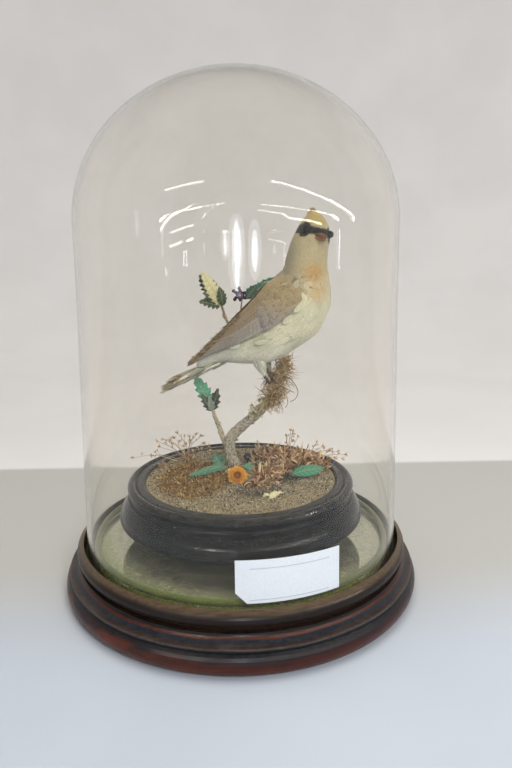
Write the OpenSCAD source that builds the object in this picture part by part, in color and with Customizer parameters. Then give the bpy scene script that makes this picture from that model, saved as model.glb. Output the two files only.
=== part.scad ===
// Bell jar dome: a blown glass dome on a turned base, over a small mounted bird on its own plinth.
// Millimetres, +Z up, origin at the middle of the base's underside, front towards -Y.

/* [Turned base] */
// Largest diameter of the turned base, at its lowest moulding
base_d = 240; // [230:1:250]
// Height of the platform inside the dome
platform_h = 28; // [27:0.5:29]
// Radius of the platform inside the dome groove
platform_r = 101.2; // [100.5:0.1:101.5]
// Radius of the outer wall of the dome groove
groove_r = 107.6; // [106.5:0.1:107.8]

/* [Glass dome] */
// Outer diameter of the dome at its open rim
dome_d = 211; // [209:0.5:212]
// Outer diameter of the dome where its crown begins
dome_neck_d = 202; // [198:1:206]
// Height at which the crown begins
crown_z = 239; // [232:1:246]
// Height of the crown
crown_h = 91.5; // [85:0.5:100]
// Wall thickness of the glass
glass_wall = 2.6; // [2.2:0.1:3]

/* [Mirror floor] */
// Radius of the mirror plate
mirror_r = 100.6; // [99:0.1:100.9]
// Thickness of the mirror plate
mirror_t = 3; // [2:0.5:4]
// Thickness of the green plush ring round the mirror's edge
plush_d = 4.6; // [4:0.1:4.8]

/* [Inner plinth] */
// Radius of the plinth at its lower bead
plinth_r = 83.3; // [80:0.1:86]
// Height of the plinth's underside, which is the length of its feet above the mirror
plinth_z = 47.2; // [46:0.1:49]
// Radius of the recess that holds the groundwork
recess_r = 65.4; // [63:0.1:67]
// Distance of the three bun feet from the middle
foot_ring_r = 29; // [24:1:34]

/* [Bird] */
// Height of the middle of the bird's body
bird_z = 178; // [176:1:182]
// Thickness of the bird's skin and feathers over the wood-wool body
skin_t = 3; // [2:0.5:4]

/* [Paper label] */
// Width of the label round the glass
label_w = 61; // [50:1:67]
// Height of the label
label_h = 25; // [20:0.5:28]

/* [Hidden] */
$fn = 96;

base_r = base_d / 2;
dome_r = dome_d / 2;
dome_neck_r = dome_neck_d / 2;
felt_t = 1;
groove_z = platform_h - 1;
lip_z = 35.6;
baize_t = 1;
baize_recess = 1.4;
backing_t = 1;
mirror_z = platform_h + backing_t;
floor_z = mirror_z + mirror_t;
ground_z = 72;
ground_floor_z = 66;
bird_y = 5;
// heights that were set for a body centre at 178 follow the bird up or down
lift = bird_z - 178;
nail_r = 1.1;
wire_r = 0.5;
wire_gap = 0.1;
tenon_r = 3;
tenon_h = 7;

// ---- outlines and swept shapes ----

// points along an arc of the profile, angles in degrees
function arc(cx, cz, r, a0, a1, n = 12) =
    [for (i = [0 : n]) let (a = a0 + (a1 - a0) * i / n) [cx + r * cos(a), cz + r * sin(a)]];

// a quarter ellipse from the side up to the axis
function crown(r, h, z, n) = [for (i = [0 : n]) let (a = 90 * i / n) [r * cos(a), z + h * sin(a)]];

function unit(v) = v / norm(v);
function place(p) = [p.x, p.y, p.z];

// a smooth curve through the points; a fourth number, such as a radius, is carried along
function between(a, b, c, d, t) =
    (2 * b + (c - a) * t + (2 * a - 5 * b + 4 * c - d) * t * t + (3 * b - a - 3 * c + d) * t * t * t) / 2;
function smooth(p, n) =
    [for (i = [0 : len(p) - 2]) for (k = [0 : n - 1])
        between(p[max(i - 1, 0)], p[i], p[i + 1], p[min(i + 2, len(p) - 1)], k / n), p[len(p) - 1]];
function heading(p, i) = unit(place(p[min(i + 1, len(p) - 1)]) - place(p[max(i - 1, 0)]));

// closes a row of rings, each with the same number of points, into one solid
module skin(rings) {
    n = len(rings[0]);
    m = len(rings);
    sides = [for (i = [0 : m - 2]) for (j = [0 : n - 1])
        let (a = i * n + j, b = i * n + (j + 1) % n)
        each [[a, a + n, b + n], [a, b + n, b]]];
    start_cap = [for (j = [0 : n - 1]) j];
    end_cap = [for (j = [n - 1 : -1 : 0]) (m - 1) * n + j];
    polyhedron([for (ring = rings) each ring], concat([start_cap, end_cap], sides), convexity = 6);
}

// a round rod along points [x, y, z, radius]; across must never run along the rod
module rod(points, steps = 4, sides = 8, across = [0, 1, 0]) {
    p = smooth(points, steps);
    skin([for (i = [0 : len(p) - 1])
        let (t = heading(p, i), s = unit(cross(across, t)), b = cross(t, s))
        [for (j = [0 : sides - 1]) let (a = 360 * j / sides)
            place(p[i]) + p[i][3] * (cos(a) * s + sin(a) * b)]]);
}

// a thin leaf from foot to tip; face is roughly the way its upper side looks
module leaf(foot, tip, width, face, bend = 0, teeth = 0, thick = 0.35) {
    t = unit(tip - foot);
    s = unit(cross(face, t));
    n = cross(t, s);
    len_ = norm(tip - foot);
    stations = teeth > 0 ? teeth * 2 : 10;
    skin([for (i = [0 : stations])
        let (u = i / stations,
            tooth = teeth > 0 && i % 2 == 1 ? 1.25 : 1,
            w = max(0.15, width / 2 * pow(sin(180 * pow(u, 0.8)), 0.8) * tooth),
            c = foot + t * len_ * u + n * bend * 4 * u * (1 - u))
        [c + s * w, c + n * thick, c - s * w, c - n * thick]]);
}

// a ball drawn out or flattened along the axes
module egg(at, size, fn = 24) {
    translate(at) resize(size) sphere(d = 10, $fn = fn);
}

// ---- turned base and mirror floor ----

module turned_base() {
    lower_bead = [for (a = [-90:14:50]) [base_r - 8 + 8 * cos(a), 8.5 + 8.5 * sin(a)]];
    fillet = [[base_r - 3.5, 15.1], [base_r - 2.7, 15.5], [base_r - 2.5, 17], [base_r - 3.2, 17.6]];
    cove = arc(base_r - 3.7, 23.6, 5.9, 266, 190, 10);
    quirk = [[base_r - 11.8, 22.7], [base_r - 11.8, 24]];
    upper_bead = arc(base_r - 13.9, 29.6, 5.9, -70, 74);
    color("#4a1f14") rotate_extrude() polygon(concat(
        [[0, baize_recess], [104, baize_recess], [104, 0]],
        lower_bead, fillet, cove, quirk, upper_bead,
        [[groove_r, lip_z - 0.5], [groove_r, groove_z], [platform_r, groove_z],
            [platform_r, platform_h], [0, platform_h]]));
}

module underside_baize() {
    color("#1e4a2c") translate([0, 0, baize_recess - baize_t]) cylinder(r = 103.4, h = baize_t);
}

module groove_felt() {
    color("#2f5a2c") translate([0, 0, groove_z]) difference() {
        cylinder(r = groove_r - 0.2, h = felt_t);
        translate([0, 0, -1]) cylinder(r = platform_r + 0.2, h = felt_t + 2);
    }
}

module mirror_backing() {
    color("#6b5334") translate([0, 0, platform_h]) cylinder(r = mirror_r - 0.4, h = backing_t);
}

module mirror_plate() {
    color("#c9cfc4") translate([0, 0, mirror_z]) cylinder(r = mirror_r, h = mirror_t);
}

module plush_ring() {
    color("#6f7f1c") translate([0, 0, floor_z + plush_d / 2]) rotate_extrude()
        translate([mirror_r - plush_d / 2 + 0.4, 0]) circle(d = plush_d, $fn = 24);
}

// ---- inner plinth and groundwork ----

module at_feet() {
    for (a = [90, 210, 330]) rotate([0, 0, a]) translate([foot_ring_r, 0, 0]) children();
}

module plinth_feet() {
    foot_h = plinth_z - floor_z;
    bun = arc(2.4, foot_h * 0.42, foot_h * 0.42, -88, 58, 10);
    color("#1b1a1a") at_feet() translate([0, 0, floor_z]) rotate_extrude() polygon(concat(
        [[0, 0]], bun, [[5.2, foot_h * 0.86], [6.2, foot_h * 0.9], [6.2, foot_h],
            [tenon_r, foot_h], [tenon_r, foot_h + tenon_h], [0, foot_h + tenon_h]]));
}

module inner_plinth() {
    lower_bead = arc(plinth_r - 1.9, plinth_z + 2.2, 1.9, -70, 60, 8);
    ovolo = arc(plinth_r - 12.7, plinth_z + 3.7, 11.6, 6, 57, 10);
    shoulder = [[plinth_r - 5.9, 61.1], [plinth_r - 5.9, 62]];
    neck = arc(plinth_r - 5.5, 64.4, 3.1, 228, 150, 8);
    rim = arc(plinth_r - 8.9, 69, 3, -70, 140);
    color("#201f20") difference() {
        rotate_extrude() polygon(concat(
            [[0, plinth_z], [plinth_r - 2, plinth_z]],
            lower_bead, ovolo, shoulder, neck, rim,
            [[plinth_r - 11.8, 70.4], [plinth_r - 12.4, 71.2], [recess_r + 1.4, 71.5],
                [recess_r, 70.9], [recess_r, ground_floor_z], [0, ground_floor_z]]));
        at_feet() translate([0, 0, plinth_z - 1]) cylinder(r = tenon_r, h = tenon_h + 1.2);
        branch_nail_hole();
    }
}

trunk_foot = [-4.7, 20.5];

module branch_nail() {
    color("#57534c") translate([trunk_foot.x, trunk_foot.y, plinth_z + 1]) {
        cylinder(r = 2.6, h = 1);
        cylinder(r = nail_r, h = 36);
    }
}

module branch_nail_hole() {
    translate([trunk_foot.x, trunk_foot.y, plinth_z - 1]) {
        cylinder(r = 3, h = 3);
        cylinder(r = nail_r, h = 40);
    }
}

// the sandy ground, a little higher in the middle; grow lifts its surface
module ground_form(grow = 0) {
    edge_r = recess_r - 0.3;
    translate([0, 0, grow]) rotate_extrude() polygon([[0, ground_floor_z], [edge_r, ground_floor_z],
        [edge_r, 70.4], [edge_r - 3, 71.2], [45, 71.8], [20, ground_z], [0, ground_z]]);
}

// the space below whatever lies on the ground
module below_moss() {
    ground_form(0.02);
    translate([0, 0, ground_z - 20.4]) cylinder(r = 80, h = 20);
}

module groundwork() {
    color("#b09a72") difference() {
        ground_form();
        branch_nail_hole();
    }
}

module moss_patch() {
    color("#7a5c2c") difference() {
        union() {
            egg([-33, -10, ground_z + 0.4], [40, 54, 6]);
            egg([-12, 2, ground_z + 0.6], [24, 30, 8]);
        }
        below_moss();
        strawflower_solid(0.4);
        trunk_solid(0.3);
        ground_leaf_left_solid(0.4);
    }
}

module dried_moss_right() {
    color("#a37a4a") difference() {
        union() {
            egg([32, 22, ground_z + 2], [48, 34, 15]);
            egg([20, -6, ground_z + 1.6], [26, 34, 11]);
            egg([50, 16, ground_z + 2], [24, 26, 12]);
        }
        below_moss();
        strawflower_solid(0.4);
        ground_leaflets_solid(0.4);
        ground_leaf_right_solid(0.4);
        ground_berry_solid(0.3);
        seed_grass_right_solid(0.3);
    }
}

// ---- branch, twigs and what is tied to them ----

trunk = [[-4.7, 20.5, 72.05, 5], [-6.9, 20.5, 78, 4.3], [-7.7, 20.5, 85, 4], [-6.4, 20, 93, 3.9],
    [1.8, 18, 102, 3.6], [10.2, 14, 110, 3.3], [17.2, 10, 118, 3.1], [24.2, 6.5, 131, 2.8],
    [27.6, 4.8, 143, 2.2], [29.5, 4, 151, 1.4]];

module trunk_solid(grow = 0) {
    rod([for (p = trunk) [p.x, p.y, p.z, p[3] + grow]], 3, 12);
}

module branch() {
    color("#9a9282") difference() {
        trunk_solid();
        ground_form(0.02);
        branch_nail_hole();
        leg_wire_solids(wire_gap);
    }
}

twig_path = [[-11.3, 20.6, 89.5, 1.9], [-15.1, 22, 100, 1.7], [-17.4, 23, 106, 1.5], [-19.6, 24, 112, 1.2]];

module side_twig() {
    color("#b3a988") difference() {
        rod(twig_path, 4, 8);
        trunk_solid(0.02);
    }
}

// the twig that leaves the branch below the perch and rises behind the bird to the upper leaves
upper_twig_path = [[25.6, 7, 138, 1.6], [19, 20, 143, 1.4], [7, 31, 154, 1.2], [-4, 37, 167, 1.1],
    [-9.5, 38, 178, 1], [-12.5, 37, 187, 0.8]];
berry_stem_path = [[3, 33.5, 158, 0.7], [1, 36, 172, 0.7], [2, 36, 184, 0.6], [6, 34, 192, 0.5]];

module upper_twig() {
    color("#a8976c") difference() {
        union() {
            rod(upper_twig_path, 4, 8);
            rod(berry_stem_path, 4, 8);
        }
        trunk_solid(0.02);
        perch_moss_body();
        leg_solids(0.1);
        leg_wire_solids(wire_gap);
    }
}

module perch_moss() {
    color("#a07a35") difference() {
        union() {
            egg([28.6, 4.6, 143], [11, 11, 25]);
            egg([23.5, 6.6, 129], [15, 14, 14]);
        }
        trunk_solid(0.02);
        leg_solids(0.15);
        bird_form();
    }
}

module lichen_patches() {
    color("#d9cf9e") difference() {
        union() {
            egg([12.2, 10.6, 115.5], [9, 6, 12], 16);
            egg([18.2, 6.4, 121], [6, 5, 6], 16);
        }
        trunk_solid(0.02);
        perch_moss_body();
    }
}

module perch_moss_body() {
    egg([28.6, 4.6, 143], [11.4, 11.4, 25.4]);
    egg([23.5, 6.6, 129], [15.4, 14.4, 14.4]);
}

module upper_leaf_pale() {
    color("#d8cfa0") leaf([-12.9, 36.6, 188], [-26.5, 38, 210], 10, [0.3, -1, 0.2], 1.5, 7);
}

module upper_leaf_toothed() {
    color("#1f3f2c") leaf([-14.4, 36, 187.2], [-27.5, 33, 190], 8, [0.1, -0.6, 0.8], 1, 6);
}

module upper_leaf_small() {
    color("#1f3f2c") leaf([-11.8, 36, 188.5], [-13, 36, 199], 6.5, [0.4, -1, 0], 0.8, 4);
}

module back_leaves() {
    color("#1f5a4c") {
        leaf([6.6, 33.6, 192.8], [13.6, 32, 200], 6, [0, -1, 0.3], 0.5, 4);
        leaf([7.4, 35.6, 191.6], [27, 34, 206], 8, [0, -0.8, 0.7], 1.5, 6);
    }
}

module berry_spray() {
    color("#4a3550") for (b = [[1.6, 33.6, 194.4], [-1.2, 34, 191.4], [2, 35, 197.4], [-1.4, 36.4, 195.2]])
        translate(b) sphere(d = 3, $fn = 24);
}

module twig_leaves() {
    color("#2c7a64") {
        leaf([-20.1, 24, 112.8], [-32.4, 23, 138], 9, [0.5, -1, 0.2], 1.5, 7);
        leaf([-19.2, 24.4, 113], [-16, 22, 128], 6, [-0.4, -1, 0.1], 0.8, 4);
        leaf([-20.4, 23.2, 112.4], [-24.5, 20, 124], 5, [0.2, -1, 0.3], 0.6, 4);
    }
}

module ground_leaf_left_solid(grow = 0) {
    leaf([-13.4, 4, ground_z + 5.6], [-35, -8, ground_z + 3.6], 9, [0, -0.5, 1], 1.2, 0, 0.35 + grow);
    leaf([-14.6, 6.4, ground_z + 6], [-17.6, 9, ground_z + 16], 7.5, [0.2, -1, 0.1], 0.8, 0, 0.35 + grow);
}

module ground_leaf_left() {
    color("#2f7a62") difference() {
        ground_leaf_left_solid();
        strawflower_solid(0.3);
    }
}

module ground_leaf_right_solid(grow = 0) {
    leaf([36, -9, ground_z + 6.4], [56.5, -4, ground_z + 7.4], 9.5, [0, -0.7, 1], 1.2, 0, 0.35 + grow);
}

module ground_leaf_right() {
    color("#239070") ground_leaf_right_solid();
}

module ground_leaflets_solid(grow = 0) {
    leaf([9, 6, ground_z + 5], [3, 0.5, ground_z + 8.6], 6.5, [0, -0.9, 0.5], 0.6, 0, 0.35 + grow);
    leaf([12, 7, ground_z + 6], [15, 2, ground_z + 9.4], 6, [0, -0.9, 0.5], 0.6, 0, 0.35 + grow);
}

module ground_leaflets() {
    color("#2f7a62") ground_leaflets_solid();
}

module ground_berry_solid(grow = 0) {
    translate([5, 18, ground_z + 6.6]) sphere(r = 2.8 + grow, $fn = 32);
    translate([5, 18, ground_z - 0.1]) cylinder(r = 0.5 + grow / 2, h = 5);
}

module ground_berry() {
    color("#2c1730") difference() {
        ground_berry_solid();
        translate([0, 0, ground_z - 10]) cylinder(r = 20, h = 10);
    }
}

module strawflower_solid(grow = 0) {
    translate([-2.2, -15.5, ground_z + 4.6]) rotate([58, 0, 4]) rotate_extrude() polygon(
        concat([[0, -2.2 - grow], [3.4, -2 - grow]],
            arc(3.6, 0, 2.7 + grow, -70, 80, 8), [[0, 2.3 + grow]]));
}

module strawflower() {
    color("#c9821c") difference() {
        strawflower_solid();
        translate([0, 0, ground_z - 20 + 0.05]) cylinder(r = 60, h = 20);
    }
}

module lichen_chip() {
    color("#d8cc9a") translate([21.6, -38.5, 71.9]) intersection() {
        egg([0, 0, 0], [10, 5, 3.6], 16);
        cylinder(r = 20, h = 10);
    }
}

// dry grass stems that fan out from one root, each with a husk at its tip
module seed_stems(root, tips, stem_r, husk) {
    for (tip = tips) {
        mid = (root + tip) / 2 + [0, 0, norm(tip - root) * 0.08];
        rod([[each root, stem_r], [each mid, stem_r], [each tip, stem_r * 0.8]], 3, 6);
        egg(tip, husk, 12);
    }
}

left_root = [-40, 36, ground_z - 0.1];
left_tips = [for (i = [0 : 6]) let (a = 28 + i * 17)
    left_root + [-20 * cos(a) - 2, 4 - 1.6 * i, 6 + 15 * sin(a)]];

module seed_grass_left() {
    color("#c2a67c") difference() {
        union() {
            seed_stems(left_root, left_tips, 0.5, [2.4, 2.2, 3.4]);
            seed_stems(left_root + [-6, -4, 0], [[-66, 31, 76.5], [-80, 29, 76]], 0.5, [3.4, 2.2, 2.2]);
        }
        translate([-40, 36, ground_z - 20]) cylinder(r = 16, h = 20);
    }
}

module seed_grass_right_solid(grow = 0) {
    root = [52, 18, ground_z + 4];
    seed_stems(root, [[65, 24, 80], [71, 21, 79.5], [77, 22, 78]], 0.5 + grow, [3, 3, 3]);
    seed_stems([36.5, 22, ground_z + 4], [[34, 22, 93], [38.4, 23, 94.5], [41, 22, 91]], 0.5 + grow,
        [2.4, 2.4, 2.4]);
}

module seed_grass_right() {
    color("#c2a67c") seed_grass_right_solid();
}

// ---- the bird ----

function up(p) = [p.x, p.y, p.z + lift];

module body_form(inset = 0) {
    hull() {
        egg(up([40, bird_y, 185]), [43, 42, 43] - [1, 1, 1] * 2 * inset);
        egg(up([24, bird_y, 175]), [45, 44, 43] - [1, 1, 1] * 2 * inset);
        egg(up([4, bird_y, 163.5]), [26, 28, 25] - [1, 1, 1] * 2 * inset);
        egg(up([-10, bird_y, 155.5]), [14, 16, 12] - [1, 1, 1] * 2 * min(inset, 2));
    }
}

module neck_form(inset = 0) {
    hull() {
        egg(up([44, bird_y, 203]), [33, 32, 20] - [1, 1, 1] * 2 * inset);
        egg(up([46, bird_y - 1, 220]), [27, 26, 20] - [1, 1, 1] * 2 * inset);
        egg(up([50, 3, 233]), [24, 25, 23] - [1, 1, 1] * 2 * inset);
    }
}

module bird_form() {
    body_form();
    neck_form();
}

module wool_form(grow = 0) {
    body_form(skin_t - grow);
}

neck_wire_path = [[40, 5, 188, wire_r], [43, 5, 204, wire_r], [46, 4, 220, wire_r], [49, 3, 232, wire_r]];

module neck_wire_solid(grow = 0) {
    rod([for (p = neck_wire_path) [each up(p), p[3] + grow]], 3, 8);
}

near_leg = [[14.5, -1.5, 151, 2.3], [14.5, -1.8, 146, 1.3], [17.5, 1, 140, 1.1], [20.6, 3, 134.5, 1.2]];
far_leg = [[18.5, 12.5, 151, 2.3], [19.5, 13, 146, 1.3], [21.5, 12, 140, 1.1], [22.4, 10.6, 134.5, 1.2]];

module leg_wire_solid(leg, grow) {
    inner_end = [leg[0].x + 4, leg[0].y + 1, 160];
    rod([[each up(inner_end), wire_r + grow], for (p = leg) [each up(p), wire_r + grow]], 3, 8);
}

module leg_wire_solids(grow = 0) {
    leg_wire_solid(near_leg, grow);
    leg_wire_solid(far_leg, grow);
}

module leg_solid(leg, grow = 0) {
    foot = leg[3];
    rod([for (p = leg) [each up(p), p[3] + grow]], 3, 10);
    for (y = [-1.6, 0, 1.6])
        rod([[each up(foot), 0.9 + grow], [each up(foot + [2.2, y, 1.5]), 0.8 + grow],
            [each up(foot + [4, y * 1.6, 1]), 0.6 + grow]], 3, 6);
}

module leg_solids(grow = 0) {
    leg_solid(near_leg, grow);
    leg_solid(far_leg, grow);
}

module leg_cut(leg) {
    color("#4c3f33") difference() {
        leg_solid(leg);
        leg_wire_solids(wire_gap);
        trunk_solid(0.05);
        bird_form();
    }
}

module leg_near() {
    leg_cut(near_leg);
}

module leg_far() {
    leg_cut(far_leg);
}

module leg_wires() {
    color("#6a6660") leg_wire_solids();
}

module neck_wire() {
    color("#6a6660") neck_wire_solid();
}

module wood_wool_body() {
    color("#b08f57") difference() {
        wool_form();
        neck_wire_solid(wire_gap);
        leg_wire_solids(wire_gap);
    }
}

module bird_skin() {
    color("#c9b88a") difference() {
        bird_form();
        wool_form(0.05);
        neck_wire_solid(wire_gap);
        leg_wire_solids(wire_gap);
        eye_solids(0.05);
    }
}

module crest() {
    color("#a4925c") difference() {
        hull() {
            egg(up([49.4, 5, 241]), [15, 14, 8]);
            egg(up([50, 8, 249.4]), [6, 5, 4], 16);
        }
        bird_form();
    }
}

// one folded wing lying on the body, near side towards -Y
module wing(side) {
    difference() {
        hull() {
            egg(up([33, bird_y + side * 19, 194]), [21, 11, 23]);
            egg(up([10, bird_y + side * 18, 181]), [24, 10, 18], 16);
            egg(up([-8, bird_y + side * 13, 168]), [14, 7, 10], 16);
            egg(up([-31, bird_y + side * 3.6, 150.5]), [4, 2.4, 3], 12);
        }
        bird_form();
        tail_form(0.1);
    }
}

module wing_near() {
    color("#8d7b66") wing(-1);
}

module wing_far() {
    color("#8d7b66") wing(1);
}

module tail_form(grow = 0) {
    skin([for (s = [[-6, 154.5, 11, 4], [-28, 144.5, 10, 3.4], [-46, 136, 12, 3], [-55, 131.5, 14, 2.4]])
        let (x = s[0], z = s[1], w = s[2] / 2 + grow, h = s[3] / 2 + grow)
        [for (c = [[0, -w, -h], [0, w, -h], [0, w, h], [0, -w, h]]) up([x, bird_y, z] + c)]]);
}

module tail_feathers() {
    color("#8a8478") difference() {
        tail_form();
        bird_form();
    }
}

// the head looks this way, turned from the body towards the front
face = unit([0.26, -0.96, -0.08]);
face_side = unit([0.96, 0.24, -0.18]);
head = [50.4, 3, 235];

module bill_half(rise) {
    start = head + face * 9 + [0, 0, rise - 1.6];
    color("#4a2f20") difference() {
        hull() {
            egg(up(start), [7.4, 6, 1.7], 16);
            egg(up(start + face * 10 - [0, 0, 1]), [1.6, 1.6, 0.9], 12);
        }
        bird_form();
    }
}

module bill_upper() {
    bill_half(1);
}

module bill_lower() {
    bill_half(-1);
}

module eye_solids(grow = 0) {
    for (side = [-1, 1]) translate(up(head + face * 7.5 + face_side * side * 8.6 + [-1, 0, 0.6]))
        sphere(r = 2.4 + grow, $fn = 32);
}

module glass_eyes() {
    color("#0e0c0c") eye_solids();
}

// ---- glass dome and its label ----

function dome_outer(grow = 0) = concat([[dome_r - 1 + grow, platform_h], [dome_r + grow, platform_h + 1]],
    crown(dome_neck_r + grow, crown_h + grow, crown_z, 40));

module glass_dome() {
    inner_top_z = crown_z + crown_h - glass_wall;
    inner = crown(dome_neck_r - glass_wall, crown_h - glass_wall, crown_z, 40);
    color("#dfeee8", 0.35) rotate_extrude($fn = 128) polygon(concat(
        dome_outer(),
        [for (i = [len(inner) - 1 : -1 : 0]) inner[i]],
        [[dome_r - glass_wall, platform_h + 1], [dome_r - glass_wall + 1, platform_h]]));
}

// a paper rectangle with one corner cut off, wrapped on the lower wall of the dome
module paper_label() {
    wrap = label_w / (PI * dome_d) * 360;
    wall_foot_z = platform_h + 1;
    taper = (dome_r - dome_neck_r) / (crown_z - wall_foot_z);
    low_z = 37;
    paper_t = 0.2;
    start_a = -92.1;
    function wall_r(z) = dome_r - taper * (z - wall_foot_z) + 0.02;
    color("#f2f4f6") intersection() {
        rotate_extrude($fn = 128) polygon([[wall_r(low_z), low_z], [wall_r(low_z) + paper_t, low_z],
            [wall_r(low_z + label_h) + paper_t, low_z + label_h], [wall_r(low_z + label_h), low_z + label_h]]);
        difference() {
            linear_extrude(80) polygon([[0, 0],
                for (i = [0 : 4]) 130 * [cos(start_a + wrap * i / 4), sin(start_a + wrap * i / 4)]]);
            rotate([0, 0, start_a]) translate([dome_r, 0, low_z]) rotate([45, 0, 0])
                cube([60, 9, 9], center = true);
        }
    }
}

turned_base();
underside_baize();
groove_felt();
mirror_backing();
mirror_plate();
plush_ring();
plinth_feet();
inner_plinth();
groundwork();
moss_patch();
branch();
branch_nail();
side_twig();
upper_twig();
perch_moss();
lichen_patches();
upper_leaf_pale();
upper_leaf_toothed();
upper_leaf_small();
back_leaves();
berry_spray();
twig_leaves();
ground_leaf_left();
ground_leaf_right();
ground_leaflets();
ground_berry();
strawflower();
lichen_chip();
seed_grass_left();
seed_grass_right();
dried_moss_right();
wood_wool_body();
bird_skin();
crest();
wing_near();
wing_far();
tail_feathers();
bill_upper();
bill_lower();
glass_eyes();
leg_near();
leg_far();
leg_wires();
neck_wire();
glass_dome();
paper_label();
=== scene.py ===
"""Looks of the bell jar dome: materials for the CAD parts, and detailed pieces for the bird, plants and sand.

Lengths in the code below are millimetres in the shared frame, and become metres when a mesh is made.
"""

import math

import bpy
import numpy as np
from mathutils import Matrix, Vector, noise


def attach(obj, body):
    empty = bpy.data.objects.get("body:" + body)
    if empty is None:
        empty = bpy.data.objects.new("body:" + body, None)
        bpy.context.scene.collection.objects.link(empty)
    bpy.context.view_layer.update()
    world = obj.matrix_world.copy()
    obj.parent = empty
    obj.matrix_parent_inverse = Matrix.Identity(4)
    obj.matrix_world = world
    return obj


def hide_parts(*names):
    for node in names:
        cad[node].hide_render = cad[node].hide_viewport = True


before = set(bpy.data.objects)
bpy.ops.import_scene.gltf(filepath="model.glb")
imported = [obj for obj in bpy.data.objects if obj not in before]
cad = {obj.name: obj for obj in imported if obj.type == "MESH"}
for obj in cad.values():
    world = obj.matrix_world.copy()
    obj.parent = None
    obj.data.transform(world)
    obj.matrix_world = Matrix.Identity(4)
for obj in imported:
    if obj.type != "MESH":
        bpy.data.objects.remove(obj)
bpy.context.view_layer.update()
MM = 0.001
draw = np.random.default_rng(11)


# ---- small helpers: colours, curves and meshes ----


def rgb(code, gain=1.0):
    """A linear colour from a hex code."""
    parts = [int(code[i : i + 2], 16) / 255 for i in (0, 2, 4)]
    return np.array([gain * (c / 12.92 if c <= 0.04045 else ((c + 0.055) / 1.055) ** 2.4) for c in parts])


def palette(codes):
    """A list of colours from hex codes with spaces between them."""
    return [rgb(code) for code in codes.split()]


def four(colour):
    """A colour with full opacity, as sockets want it."""
    return (*(float(c) for c in colour), 1.0)


def unit(v):
    """Vectors scaled to a length of 1."""
    v = np.asarray(v, float)
    return v / np.maximum(np.linalg.norm(v, axis=-1, keepdims=True), 1e-9)


def circle(count):
    """Evenly spaced angles round one turn."""
    return np.linspace(0, 2 * np.pi, count, endpoint=False)


def xyz(x, y, z):
    """Points from three arrays or numbers that broadcast."""
    return np.stack(np.broadcast_arrays(x, y, z), axis=-1)


def spline(points, steps):
    """A smooth curve through the points; further numbers in a row are carried along."""
    p = np.asarray(points, float)
    q = np.vstack([2 * p[0] - p[1], p, 2 * p[-1] - p[-2]])
    t = np.linspace(0, 1, steps, endpoint=False)[:, None]
    runs = []
    for i in range(len(p) - 1):
        a, b, c, d = q[i : i + 4]
        runs.append((2 * b + (c - a) * t + (2 * a - 5 * b + 4 * c - d) * t**2
                     + (3 * b - a - 3 * c + d) * t**3) / 2)
    return np.vstack([*runs, p[-1:]])


def rough(points, scale, octaves=3):
    """Fractal noise at each point, about -1 to 1."""
    flat = np.asarray(points, float).reshape(-1, 3)
    values = [noise.fractal(Vector(p) * scale, 1.0, 2.0, octaves) for p in flat]
    return np.array(values).reshape(np.asarray(points).shape[:-1])


def jitter(count):
    """Random vectors with a normal spread of 1 along each axis."""
    return draw.normal(size=(count, 3))


def pick(colours, count, spread=0.12):
    """Random colours from a short list, each a little lighter or darker."""
    chosen = np.array(colours)[draw.integers(0, len(colours), count)]
    return chosen * draw.uniform(1 - spread, 1 + spread, (count, 1))


def spin(vectors, axis, angle):
    """Turns vectors about axis by angle in radians; all arguments broadcast."""
    c = np.cos(angle)
    s = np.sin(angle)
    along = np.sum(vectors * axis, axis=-1, keepdims=True)
    return vectors * c + np.cross(axis, vectors) * s + axis * along * (1 - c)


class Heap:
    """Collects surfaces of one piece. shade is a colour per point, flow is (across, along, chance)."""

    def __init__(self):
        self.points = []
        self.faces = []
        self.shades = []
        self.flows = []
        self.count = 0

    def _take(self, p, shade, flow):
        n = p.reshape(-1, 3).shape[0]
        self.points.append(p.reshape(-1, 3))
        self.shades.append(np.broadcast_to(shade, p.shape).reshape(-1, 3))
        self.flows.append(np.broadcast_to(flow, p.shape).reshape(-1, 3))
        self.count += n
        return np.arange(self.count - n, self.count).reshape(p.shape[:-1])

    def grids(self, p, shade=(1, 1, 1), flow=(0, 0, 0), closed=False, caps=False):
        """p has shape (..., rows, columns, 3). closed joins the last column to the first."""
        i = self._take(np.asarray(p, float), shade, flow)
        i = i.reshape(-1, *i.shape[-2:])
        j = np.roll(i, -1, axis=2) if closed else i[:, :, 1:]
        k = i if closed else i[:, :, :-1]
        quads = np.stack([k[:, :-1], j[:, :-1], j[:, 1:], k[:, 1:]], axis=-1)
        self.faces += quads.reshape(-1, 4).tolist()
        if caps:
            self.faces += i[:, 0, ::-1].tolist()
            self.faces += i[:, -1].tolist()

    def shapes(self, p, faces, shade=(1, 1, 1), flow=(0, 0, 0)):
        """p has shape (count, points, 3) and faces indexes one shape's points."""
        i = self._take(np.asarray(p, float), shade, flow)
        self.faces += i[:, np.asarray(faces)].reshape(-1, len(faces[0])).tolist()

    def make(self, name, material, body="base", replaces=(), smooth=True):
        mesh = bpy.data.meshes.new(name)
        mesh.from_pydata((np.vstack(self.points) * MM).tolist(), [], self.faces)
        mesh.polygons.foreach_set("use_smooth", [smooth] * len(mesh.polygons))
        shade = np.vstack(self.shades)
        colours = mesh.attributes.new("shade", "FLOAT_COLOR", "POINT")
        colours.data.foreach_set("color",
                                 np.hstack([shade, np.ones((len(shade), 1))]).astype(np.float32).ravel())
        flow = mesh.attributes.new("flow", "FLOAT_VECTOR", "POINT")
        flow.data.foreach_set("vector", np.vstack(self.flows).astype(np.float32).ravel())
        mesh.materials.append(material)
        made = bpy.data.objects.new(name, mesh)
        bpy.context.collection.objects.link(made)
        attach(made, body)
        if replaces:
            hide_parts(*replaces)


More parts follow.
